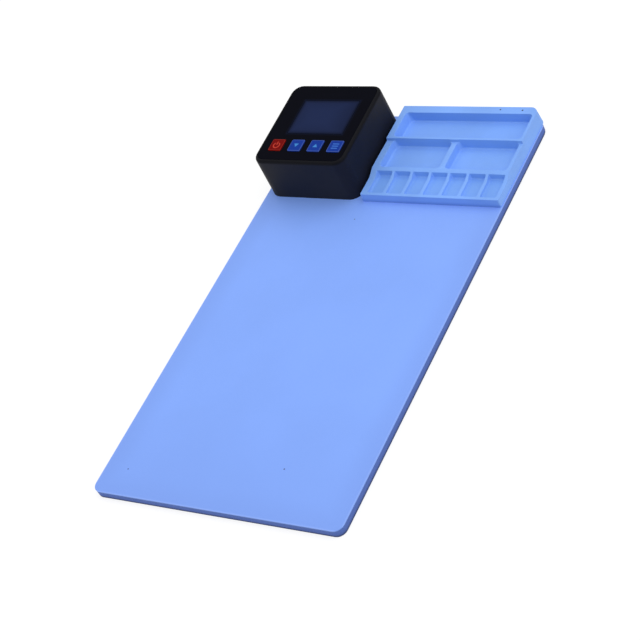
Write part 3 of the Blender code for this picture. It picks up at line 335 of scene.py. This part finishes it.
def closeRings(mesh, rings):
    # faces between rings that have as many points each, and over the first and the last ring
    mesh.faces.new(list(reversed(rings[0])))
    for lower, upper in zip(rings, rings[1:]):
        for i in range(len(lower)):
            j = (i + 1) % len(lower)
            mesh.faces.new((lower[i], lower[j], upper[j], upper[i]))
    mesh.faces.new(rings[-1])


# Mat

mat = {
    "blue": tone(129, 169, 253),
    "dull": tone(122, 158, 238),    # towards the rim
    # painted highlight of the rounded outer edge
    "pale": tone(142, 176, 252),
    "side": tone(72, 104, 176, 0.92),
    "core": tone(80, 106, 178, 0.97),
    "skin": tone(54, 68, 110),
    "sideFade": (5.65 * mm, 6.15 * mm),    # heights between which the side's darker tone ends
    "rough": 0.5,
    "crease": 40,           # degrees, here and below, from which an edge stays sharp
    "edge": 0.5 * mm,
    "lowerEdge": 0.2 * mm,
    "coreEdge": 0.3 * mm,
    "skinEdge": 0.15 * mm,
    "rimWidth": 10 * mm,    # the strip in which an edge counts as one of the outline
    "topBand": 0.1 * mm,    # down from the working face, to where an edge counts as its rim
    "footBand": 1.3 * mm,   # down from it, from where an edge counts as the sheet's foot
    "frontFade": (-190 * mm, -70 * mm),    # along the mat, from duller to plain
    "rimFade": (-22 * mm, -1.2 * mm),      # from the outline, from plain to duller
    "paleFade": (-1.1 * mm, -0.4 * mm),
    "frontShare": 0.45,     # how much of each tone these three let in
    "rimShare": 0.5,
    "paleShare": 0.7,
    "grainShare": 0.05,
    "coreFade": (1.1 * mm, 2.9 * mm),      # heights between which the core's dark foot ends
    "specks": [(-80.7, -159.0, 0.7), (38.3, -141.0, 0.75), (-12.3, 75.0, 0.6)],
    "speckTone": tone(60, 70, 118),
}


def sheetShading(place):
    x, y, z = place.axes()
    cloud = place.noise(16, 3)
    grain = place.noise(*silicone["grain"])
    blue = mat["blue"]
    darker = scaled(blue, 0.975)
    lighter = scaled(blue, 1.015)
    color = cloud.rise(0.3, 0.7).blend(darker, lighter)
    color = (grain.rise(0.35, 0.75) * mat["grainShare"]).blend(color, silicone["point"])
    rim = (abs(x) - cadBox[1][0]).most(abs(y) - cadBox[1][1])
    color = ((1 - y.rise(*mat["frontFade"])) * mat["frontShare"]).blend(color, mat["dull"])
    color = (rim.rise(*mat["rimFade"]) * mat["rimShare"]).blend(color, mat["dull"])
    # painted highlight: paler along the rounded outer edge, where it catches the light
    color = (rim.rise(*mat["paleFade"]) * mat["paleShare"]).blend(color, mat["pale"])
    color = (1 - z.rise(*mat["sideFade"])).blend(color, mat["side"])
    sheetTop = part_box("mat_top_sheet")[1].z
    for px, py, radius in mat["specks"]:
        speck = place.near((px * mm, py * mm, sheetTop), radius * mm)
        color = speck.blend(color, mat["speckTone"])
    return siliconeLook(color, mat["rough"], grain)


def layerShading(tint, streaks, dark=0.0):
    # dark: how much the layer darkens towards its foot
    def shading(place):
        long = place.node("Mapping", None, {"Vector": place, "Scale": (1, 1, 14)}).noise(60, 3)
        grain = place.noise(1100, 3)
        color = (long.rise(0.3, 0.75) * streaks).blend(tint, scaled(tint, 1.35))
        color = (grain.rise(0.4, 0.8) * 0.25).blend(color, scaled(tint, 0.75))
        color = ((1 - place.axes()[2].rise(*mat["coreFade"])) * dark).blend(color, mat["skin"])
        return {"Base Color": color, "Roughness": 0.6 + grain * 0.2, "Normal": grain.bump(0.35, 0.04 * mm)}
    return shading


def makeMat():
    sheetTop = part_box("mat_top_sheet")[1].z
    sheet = solidFrom("mat_top_sheet")
    outerX, outerY = cadBox[1][0] - mat["rimWidth"], cadBox[1][1] - mat["rimWidth"]
    outer = lambda middle: abs(middle.x) > outerX or abs(middle.y) > outerY
    rimFoot, footTop = sheetTop - mat["topBand"], sheetTop - mat["footBand"]
    roundEdges(sheet, mat["edge"], 4, lambda middle, convex: outer(middle) and middle.z > rimFoot)
    roundEdges(sheet, mat["lowerEdge"], 2, lambda middle, convex: outer(middle) and middle.z < footTop)
    finish = makeFinish("sheetSilicone", silicone["gloss"], sheetShading)
    placePiece("matTopSheet", sheet, finish, "pad", ["mat_top_sheet"], mat["crease"])
    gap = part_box("mat_top_sheet")[0].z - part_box("mat_core")[1].z - 2 * hair
    core = solidFrom("mat_core")
    top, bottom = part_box("mat_core")[1].z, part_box("mat_core")[0].z
    slide(core, top - hair, top + mm, gap)
    slide(core, bottom - mm, bottom + hair, -gap / 2)
    roundEdges(core, mat["coreEdge"], 2, lambda middle, convex: outer(middle))
    finish = makeFinish("coreRubber", {"Specular IOR Level": 0.3}, layerShading(mat["core"], 0.35, 0.5))
    placePiece("matCore", core, finish, "pad", ["mat_core"], mat["crease"])
    skin = solidFrom("mat_base_skin")
    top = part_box("mat_base_skin")[1].z
    slide(skin, top - hair, top + mm, gap / 2 - hair)
    roundEdges(skin, mat["skinEdge"], 2, lambda middle, convex: outer(middle))
    finish = makeFinish("skinRubber", {"Specular IOR Level": 0.3}, layerShading(mat["skin"], 0.3))
    placePiece("matBaseSkin", skin, finish, "pad", ["mat_base_skin"], mat["crease"])


makeMat()
print("mat is made")


# Controller's case and glossy front panel

case = {
    "black": (0.0085, 0.0105, 0.022, 1),
    # grey tone: the moulding's mottle, and painted reflection at the left end and the high back
    "mottleAndReflection": (0.022, 0.0212, 0.0235, 1),
    "soften": 0.28 * mm,    # on each ridge of the rounded top edge
    "panelBlack": (0.0018, 0.0020, 0.0048, 1),
    # the display's blue under the painted highlight, and its darker blue away from it
    "window": tone(31, 42, 77),
    "windowDark": tone(25, 34, 64),
    # painted shade of the upward-facing rim
    "rimShade": (0.0020, 0.0023, 0.0048, 1),
    "spark": (0.03, 0.032, 0.045, 1),
    "cloudShare": 0.36,     # how much of the grey tone its clouds let in as mottle, and of the spark
    "sparkShare": 0.3,
    "paleShare": 0.95,      # and of the grey tone as painted reflection at the left, and at the back against there
    "backShare": 0.7,
    "crease": 32,
    "rimBand": (3.2, 0.9),    # mm under the panel's plane, between which the painted shade on the upward-facing rim begins
    "reflectionLeft": (-96.5 * mm, -73 * mm),    # where the painted reflection fades out: across, along and upwards
    "reflectionBack": (125 * mm, 170 * mm),
    "reflectionUp": (22 * mm, 42 * mm),
    "windowFade": (-3.4 * mm, 2.2 * mm),   # over the window's edge
    "highlightFade": (6 * mm, 30 * mm),         # of the painted highlight, from the window's middle
    "highlightLeft": 4 * mm,
    "panelEdge": 0.3 * mm,
    "fineEdge": 0.12 * mm,
    "ridgeWithin": (2.4, 2.6),    # mm under the panel's plane and inside the outline
    "rimWithin": 5.0,       # mm inside the outline, for the panel's outer edge
    "topWithin": 0.1,       # mm under the panel's plane, for an edge of its face
    "tilt": 1.5,            # degrees
    "corner": 9.0,          # mm
    "middle": (-56.7, 133.55, 43.9),    # of the panel's face, mm
    "windowAt": (2.6, 6.3),             # from there, in the panel's plane
    "windowHalf": (24.3, 16.85),
}
panelTurn = Matrix.Rotation(radians(case["tilt"]), 3, "X")
caseLow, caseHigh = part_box("controller_housing")


def onPanel(x, y, up=0.0):
    # a point of the tilted panel, given in mm from its middle
    return (Vector(case["middle"]) + panelTurn @ Vector((x, y, up))) * mm


def overPanel(point):
    # height of a point over the panel's plane, in mm
    return (point / mm - Vector(case["middle"])).dot(panelTurn.col[2])


def outOfCase(point):
    # how far a point lies outside the case's foot, seen from above, in mm
    middle, half = (caseLow + caseHigh) / 2, (caseHigh - caseLow) / 2
    x = (abs(point.x - middle.x) - half.x) / mm + case["corner"]
    y = (abs(point.y - middle.y) - half.y) / mm + case["corner"]
    return Vector((max(x, 0), max(y, 0))).length + min(max(x, y), 0) - case["corner"]


def acrossPanel(place, x, y):
    # coordinates in the panel's plane, from a point of it, in metres
    middle = onPanel(x, y)
    away = place.node("VectorMath", {"operation": "SUBTRACT"}, {0: place, 1: tuple(middle)})
    up = away.node("VectorMath", {"operation": "DOT_PRODUCT"}, {0: away, 1: tuple(panelTurn.col[1])}, "Value")
    return away.axes()[0], up


def caseShading(place):
    x, y, z = place.axes()
    spark = place.noise(1500, 2, 0.65)
    cloud = place.noise(28, 3)
    color = (cloud.rise(0.35, 0.75) * case["cloudShare"]).blend(case["black"], case["mottleAndReflection"])
    color = (spark.rise(0.5, 0.8) * case["sparkShare"]).blend(color, case["spark"])
    lift = z - y * tan(radians(case["tilt"]))
    top = case["middle"][2] - case["middle"][1] * tan(radians(case["tilt"]))
    # painted shade: the upward-facing rim darker than the walls below it
    rim = lift.rise(*[(top - down) * mm for down in case["rimBand"]])
    color = rim.blend(color, case["rimShade"])
    # painted reflection: greyer at the left end and high at the back, but not on the rim
    behind = y.rise(*case["reflectionBack"]) * z.rise(*case["reflectionUp"]) * case["backShare"]
    paintedReflection = (1 - x.rise(*case["reflectionLeft"])).most(behind)
    color = (paintedReflection * case["paleShare"] * (1 - rim)).blend(color, case["mottleAndReflection"])
    return {"Base Color": color, "Roughness": 0.46 + spark * 0.16, "Normal": spark.bump(0.5, 0.05 * mm)}


def underGlass(place, color):
    # the display's dark blue, with a painted highlight in its middle, which fades out softly round the window
    u, v = acrossPanel(place, *case["windowAt"])
    width, height = [half * mm for half in case["windowHalf"]]
    side = (abs(u) - width).most(abs(v) - height)
    away = abs(u + case["highlightLeft"]).most(abs(v) * 1.3)
    # painted highlight: lighter in the display's middle
    glow = away.rise(*case["highlightFade"]).blend(case["window"], case["windowDark"])
    return side.rise(*case["windowFade"]).blend(glow, color)


def panelShading(place):
    smear = place.node("Mapping", None, {"Vector": place, "Scale": (1, 3, 1)}).noise(40, 4)
    color = smear.blend(case["panelBlack"], scaled(case["panelBlack"], 1.4))
    return {"Base Color": underGlass(place, color), "Roughness": 0.10 + smear.rise(0.3, 0.8) * 0.10}


def windowShading(place):
    haze = place.noise(90, 2)
    color = (haze.rise(0.3, 0.7) * 0.3).blend(case["panelBlack"], scaled(case["panelBlack"], 1.4))
    return {"Base Color": underGlass(place, color), "Roughness": 0.09 + haze * 0.06}


def makeCase():
    shell = solidFrom("controller_housing")
    slide(shell, caseLow.z - mm, caseLow.z + hair, -settle)
    under, inside = case["ridgeWithin"]
    ridge = lambda middle, convex: convex and overPanel(middle) > -under and outOfCase(middle) > -inside
    roundEdges(shell, case["soften"], 2, ridge, 12)
    finish = makeFinish("caseMoulding", {"Specular IOR Level": 0.09}, caseShading)
    placePiece("controllerCase", shell, finish, "pad", ["controller_housing"], case["crease"])
    panel = solidFrom("front_panel")
    top = lambda middle: overPanel(middle) > -case["topWithin"]
    rim = lambda middle, convex: top(middle) and outOfCase(middle) > -case["rimWithin"]
    roundEdges(panel, case["panelEdge"], 3, rim)
    roundEdges(panel, case["fineEdge"], 2, lambda middle, convex: top(middle))
    finish = makeFinish("glossyPanel", {"Specular IOR Level": 0.012}, panelShading)
    placePiece("frontPanel", panel, finish, "pad", ["front_panel"], case["crease"])
    pane = solidFrom("display_window")
    roundEdges(pane, case["fineEdge"], 2, lambda middle, convex: top(middle))
    finish = makeFinish("windowPane", {"Specular IOR Level": 0.015}, windowShading)
    placePiece("displayWindow", pane, finish, "pad", ["display_window"], case["crease"])


makeCase()
print("case, panel and window are made")


# Keys, each with a pale border and a raised sign

keys = {
    "row": -22.8,           # mm in front of the panel's middle
    "first": -24.45,
    "pitch": 17.117,
    "top": 0.5,
    "red": tone(112, 2, 1),
    "redLine": tone(134, 34, 26),
    "redSign": tone(190, 62, 48),
    "blue": tone(20, 54, 145),
    "blueLine": tone(66, 88, 160),
    "signTone": tone(68, 136, 204),
    "menuTone": tone(66, 116, 204),
    "signUp": 0.07,         # mm over the key
    "signDown": 0.1,        # and its foot inside the key
    "edge": 0.16 * mm,
    "gloss": 0.03,
    "crease": 32,
    "lineInside": (4.86 * mm, 5.02 * mm),    # fades of the pale border, from the key's middle
    "lineOutside": (5.40 * mm, 5.56 * mm),
    "ring": (3.0, 2.05),    # the power sign's outer and inner radius, mm
    "ringDrop": 0.5,
    "ringGap": 34,          # degrees on each side of its bar
    "ringSteps": 26,
    "barHalf": 0.46,        # half width of every bar
    "barSpan": (-0.1, 3.1),
    "triangle": (2.0, 1.75, 1.55),    # half width, tip and base
    "menuHalf": 2.7,
    "menuRows": (-2.1, 0, 2.1),
}
keyBodies = ["power", "down", "up", "mode"]


def keyShading(index, face, line):
    def shading(place):
        u, v = acrossPanel(place, keys["first"] + index * keys["pitch"], keys["row"])
        side = abs(u).most(abs(v))
        mist = place.noise(500, 2)
        color = (mist.rise(0.3, 0.8) * 0.25).blend(face, scaled(face, 1.3))
        border = side.rise(*keys["lineInside"]) * (1 - side.rise(*keys["lineOutside"]))
        color = border.blend(color, line)
        return {"Base Color": color, "Roughness": 0.32 + mist * 0.12}
    return shading


def plainShading(color, grainScale=900, rough=0.4):
    def shading(place):
        grain = place.noise(grainScale, 2)
        shaded = (grain.rise(0.3, 0.8) * 0.3).blend(color, scaled(color, 0.8))
        return {"Base Color": shaded, "Roughness": rough + grain * 0.12}
    return shading


def addPlate(mesh, outline, middle, low, high, taper=0.04):
    # thin raised plate on the panel, from an outline in mm round its middle
    rings = []
    for up, inset in ((low, 0.0), (high - taper, 0.0), (high, taper)):
        rings.append([])
        for i, (x, y) in enumerate(outline):
            before, after = Vector(outline[i - 1]), Vector(outline[(i + 1) % len(outline)])
            along = (after - before).normalized()
            px, py = x - along.y * inset, y + along.x * inset
            rings[-1].append(mesh.verts.new(onPanel(middle[0] + px, middle[1] + py, up)))
    closeRings(mesh, rings)


def barOutline(half, low, high):
    return [(-half, low), (half, low), (half, high), (-half, high)]


def powerSign():
    steps = keys["ringSteps"]
    gap = radians(keys["ringGap"])
    angles = [pi / 2 + gap + (2 * pi - 2 * gap) * i / steps for i in range(steps + 1)]
    wide, narrow = keys["ring"]
    outer = [(wide * cos(a), wide * sin(a) - keys["ringDrop"]) for a in angles]
    inner = [(narrow * cos(a), narrow * sin(a) - keys["ringDrop"]) for a in reversed(angles)]
    return [outer + inner, barOutline(keys["barHalf"], *keys["barSpan"])]


def signOutlines():
    half, tip, base = keys["triangle"]
    bar = keys["barHalf"]
    return {
        "power": powerSign(),
        "down": [[(0, -tip), (half, base), (-half, base)]],
        "up": [[(-half, -base), (half, -base), (0, tip)]],
        "mode": [barOutline(keys["menuHalf"], y - bar, y + bar) for y in keys["menuRows"]],
    }


def makeKeys():
    signs = signOutlines()
    gloss = {"Specular IOR Level": keys["gloss"]}
    for index, name in enumerate(keyBodies):
        power = name == "power"
        face, line = (keys["red"], keys["redLine"]) if power else (keys["blue"], keys["blueLine"])
        cap = solidFrom(f"{name}_key")
        roundEdges(cap, keys["edge"], 2, lambda middle, convex: True)
        finish = makeFinish(f"{name}KeyCap", gloss, keyShading(index, face, line))
        placePiece(f"{name}KeyCap", cap, finish, f"{name}_button", [f"{name}_key"], keys["crease"])
        sign = bmesh.new()
        middle = (keys["first"] + index * keys["pitch"], keys["row"])
        for outline in signs[name]:
            addPlate(sign, outline, middle, keys["top"] - keys["signDown"], keys["top"] + keys["signUp"])
        color = keys["redSign"] if power else keys["menuTone"] if name == "mode" else keys["signTone"]
        finish = makeFinish(f"{name}KeySign", gloss, plainShading(color))
        placePiece(f"{name}KeySign", sign, finish, f"{name}_button", (), keys["crease"])


makeKeys()
print("keys are made")


# Parts tray

tray = {
    "blue": tone(122, 170, 247),
    # painted shade in the compartments
    "wall": tone(92, 146, 222),
    "wallShare": 0.45,      # of the painted shade on the compartments' walls, but those that face right
    "floorShare": 0.3,      # and of that painted shade on the front row's deep floors
    # painted shade on the outer faces that look to the front
    "front": tone(96, 136, 214),
    "frontShare": 0.4,      # of the front faces' painted shade at their top, and all of it at the foot
    "grainShare": 0.08,
    "rough": 0.48,
    "crease": 50,
    "specks": [(68.6, 176.1, 18.5, 0.85), (86.5, 175.7, 18.5, 0.95)],
    "speckTone": tone(12, 22, 60),
    "mouth": 0.85 * mm,
    "foot": 1.2 * mm,
    "footBelow": 4.5 * mm,                 # heights over the tray's underside
    "mouthAbove": 4.6 * mm,
    "floorFade": (4.3 * mm, 5 * mm),
    "frontFade": 3.2 * mm,
    "rowFade": (114 * mm, 119 * mm),       # behind the front row
    "outlineFade": (-2.15 * mm, -1.9 * mm),
}


def trayShading(place):
    x, y, z = place.axes()
    cloud = place.noise(30, 3)
    grain = place.noise(*silicone["grain"])
    blue = tray["blue"]
    color = cloud.rise(0.3, 0.7).blend(scaled(blue, 0.95), scaled(blue, 1.04))
    color = (grain.rise(0.35, 0.75) * tray["grainShare"]).blend(color, silicone["point"])
    low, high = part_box("parts_tray")
    middle, half = (low + high) / 2, (high - low) / 2
    outside = (abs(x - middle.x) - half.x).most(abs(y - middle.y) - half.y)
    inside = 1 - outside.rise(*tray["outlineFade"])
    normal = place.node("NewGeometry", None, None, "Normal").axes()
    upright = 1 - normal[2].rise(0.2, 0.9)
    facingRight = normal[0].rise(0.3, 0.8)
    # painted shade: the compartments' walls darker, as in their hollows, but not those facing right
    color = (upright * inside * (1 - facingRight) * tray["wallShare"]).blend(color, tray["wall"])
    # painted shade on the floors of the front row
    floors = (1 - y.rise(*tray["rowFade"])) * (1 - z.rise(*[low.z + up for up in tray["floorFade"]]))
    color = (inside * (1 - upright) * floors * tray["floorShare"]).blend(color, tray["wall"])
    # painted shade: outer faces turned to the front darker, most at their foot
    front = (1 - inside) * (1 - normal[1].rise(-0.95, -0.4))
    footward = 1 - z.rise(low.z, low.z + tray["frontFade"])
    share = tray["frontShare"] + (1 - tray["frontShare"]) * footward
    color = (front * share).blend(color, tray["front"])
    for px, py, pz, radius in tray["specks"]:
        speck = place.near((px * mm, py * mm, pz * mm), radius * mm)
        color = speck.blend(color, tray["speckTone"])
    return siliconeLook(color, tray["rough"], grain)


def makeTray():
    body = solidFrom("parts_tray")
    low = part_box("parts_tray")[0].z
    slide(body, low - mm, low + hair, -settle)
    footTop, mouthFoot = low + tray["footBelow"], low + tray["mouthAbove"]
    roundEdges(body, tray["foot"], 4, lambda middle, convex: not convex and middle.z < footTop, 25)
    roundEdges(body, tray["mouth"], 4, lambda middle, convex: middle.z > mouthFoot, 25)
    finish = makeFinish("traySilicone", silicone["gloss"], trayShading)
    placePiece("partsTray", body, finish, "pad", ["parts_tray"], tray["crease"])


makeTray()
print("tray is made")


# Power inlet and the screws that show

inlet = {
    "black": (0.012, 0.012, 0.014, 1),
    "edge": 0.45 * mm,
    "grain": 1200,
    "rough": 0.38,
    "crease": 32,
}


def makeInlet():
    body = solidFrom("power_inlet")
    roundEdges(body, inlet["edge"], 3, lambda middle, convex: middle.y > caseHigh.y)
    shading = plainShading(inlet["black"], inlet["grain"], inlet["rough"])
    finish = makeFinish("inletMoulding", {"Specular IOR Level": 0.4}, shading)
    placePiece("powerInlet", body, finish, "pad", ["power_inlet"], inlet["crease"])


makeInlet()
print("inlet is made")


screws = {
    "clampHead": (3.0, 0.85),    # radius and height of the head, mm
    "inletHead": (2.8, 1.8),
    "shank": 1.5,
    "slot": (0.36, 0.62),        # half width of the cross, and its reach as a share of the head's radius
    "dome": (0.22, 0.55),        # shares of the head's radius and height that its rounding takes
    "recess": (0.86, 0.6),       # width of the cross at its foot and its depth, as shares
    "crease": 35,
    "draft": 0.012,              # lean of the case's back wall
    "clampTurn": (0.4, 1.1),     # turn of the first recess and from one to the next, radians
    "inletTurn": (0.7, 0.9),
    "inletSink": 0.03 * mm,      # of the inlet screws' faces
    "inletShort": 0.1,           # mm that their shanks stay short of the solid's end
}


def crossPoints(reach, half):
    # outline of a cross recess, with two points more along each arm
    near, far = reach * 0.45, reach * 0.7
    quarter = [(reach, 0), (reach, half), (far, half), (near, half), (half, half),
               (half, near), (half, far), (half, reach)]
    points = []
    for turn in range(4):
        for x, y in quarter:
            for _ in range(turn):
                x, y = -y, x
            points.append((x, y))
    return points


def makeScrew(name, node, head, length, place, turn):
    # the head's outer face looks along +Z before it is turned and moved to its place
    radius, high = head
    half = screws["slot"][0]
    cross = crossPoints(radius * screws["slot"][1], half)
    angles = [atan2(y, x) for x, y in cross]
    mesh = bmesh.new()
    rings = []

    def ring(points, z):
        rings.append([mesh.verts.new(Vector((x, y, z)) * mm) for x, y in points])

    circle = lambda r: [(r * cos(a), r * sin(a)) for a in angles]
    ring(circle(screws["shank"]), -high - length)
    ring(circle(screws["shank"]), -high)
    ring(circle(radius), -high)
    wide, tall = screws["dome"]
    for share in (0.0, 0.35, 0.7, 1.0):
        bend = share * pi / 2
        ring(circle(radius * (1 - wide + wide * cos(bend))), -high * tall * (1 - sin(bend)))
    ring(cross, 0.0)
    narrow, deep = screws["recess"]
    ring([(x * narrow, y * narrow) for x, y in cross], -high * deep)
    closeRings(mesh, rings)
    mesh.transform(Matrix.Translation(place) @ turn)
    placePiece(name, mesh, slotFinishes["steel"], "pad", [node], screws["crease"])


def makeScrews():
    first, more = screws["clampTurn"]
    for index in range(4):
        node = f"clamp_screw_{index + 1}"
        low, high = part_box(node)
        place = Vector(((low.x + high.x) / 2, (low.y + high.y) / 2, low.z))
        turn = Matrix.Rotation(pi, 4, "X") @ Matrix.Rotation(first + index * more, 4, "Z")
        length = (high.z - low.z) / mm - screws["clampHead"][1]
        makeScrew(f"clampScrew{index + 1}", node, screws["clampHead"], length, place, turn)
    first, more = screws["inletTurn"]
    for index in range(2):
        node = f"inlet_screw_{index + 1}"
        low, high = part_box(node)
        place = Vector(((low.x + high.x) / 2, high.y - screws["inletSink"], (low.z + high.z) / 2))
        spin = Matrix.Rotation(first + index * more, 4, "Z")
        turn = Matrix.Rotation(screws["draft"] - pi / 2, 4, "X") @ spin
        length = (high.y - low.y) / mm - screws["inletHead"][1] - screws["inletShort"]
        makeScrew(f"inletScrew{index + 1}", node, screws["inletHead"], length, place, turn)


# Pieces that stay as their CAD solids: each finish by its slot

def metalShading(color, rough, brushed=(1, 1, 1)):
    def shading(place):
        streak = place.node("Mapping", None, {"Vector": place, "Scale": brushed}).noise(700, 3)
        tinted = streak.rise(0.3, 0.7).blend(color, scaled(color, 0.8))
        roughness = rough + streak * 0.15
        return {"Base Color": tinted, "Roughness": roughness, "Normal": streak.bump(0.15, 0.02 * mm)}
    return shading


def boardShading(place):
    mask = place.noise(220, 4)
    tracks = place.node("TexVoronoi", {"distance": "MANHATTAN", "feature": "DISTANCE_TO_EDGE"},
                        {"Vector": place, "Scale": 260}, "Distance")
    color = (1 - tracks.rise(0.02, 0.06)).blend((0.012, 0.10, 0.035, 1), (0.03, 0.17, 0.06, 1))
    color = (mask.rise(0.4, 0.7) * 0.3).blend(color, (0.01, 0.08, 0.03, 1))
    return {"Base Color": color, "Roughness": 0.28 + mask * 0.15, "Normal": tracks.bump(0.2, 0.03 * mm)}


metal = {"Metallic": 1.0}
slotFinishes = {
    "dark_plastic": makeFinish("darkPlastic", {"Specular IOR Level": 0.4},
                               plainShading((0.014, 0.014, 0.016, 1), 1200, 0.42)),
    "white_plastic": makeFinish("whitePlastic", {}, plainShading((0.70, 0.69, 0.64, 1), 900, 0.42)),
    "green_plastic": makeFinish("greenPlastic", {}, plainShading((0.03, 0.28, 0.11, 1), 900, 0.38)),
    "board": makeFinish("circuitBoard", {}, boardShading),
    "glass": makeFinish("displayGlass", {}, plainShading((0.16, 0.20, 0.19, 1), 200, 0.06)),
    "foil": makeFinish("heaterFoil", metal, metalShading((0.60, 0.58, 0.54, 1), 0.3, (1, 8, 1))),
    "steel": makeFinish("zincSteel", metal, metalShading((0.56, 0.57, 0.60, 1), 0.26)),
    "brass": makeFinish("brassPin", metal, metalShading((0.78, 0.60, 0.30, 1), 0.22, (1, 6, 1))),
    "aluminium": makeFinish("extrudedAluminium", metal,
                            metalShading((0.72, 0.73, 0.75, 1), 0.34, (1, 1, 12))),
    "carrier": makeFinish("carrierSheet", {}, plainShading((0.48, 0.22, 0.05, 1), 700, 0.45)),
    "wire_red": makeFinish("redWire", {}, plainShading((0.45, 0.02, 0.015, 1), 900, 0.42)),
    "wire_white": makeFinish("whiteWire", {}, plainShading((0.66, 0.65, 0.60, 1), 900, 0.45)),
    "tape": makeFinish("bondTape", {}, plainShading((0.50, 0.48, 0.42, 1), 1000, 0.6)),
}


def finishSolids():
    for part in frame["record"]["subparts"]:
        slot = part["material_slot"]
        if slot in slotFinishes:
            data = nodes[part["node"]].data
            data.materials.clear()
            data.materials.append(slotFinishes[slot])


finishSolids()
makeScrews()
print("inner pieces and screws are finished")
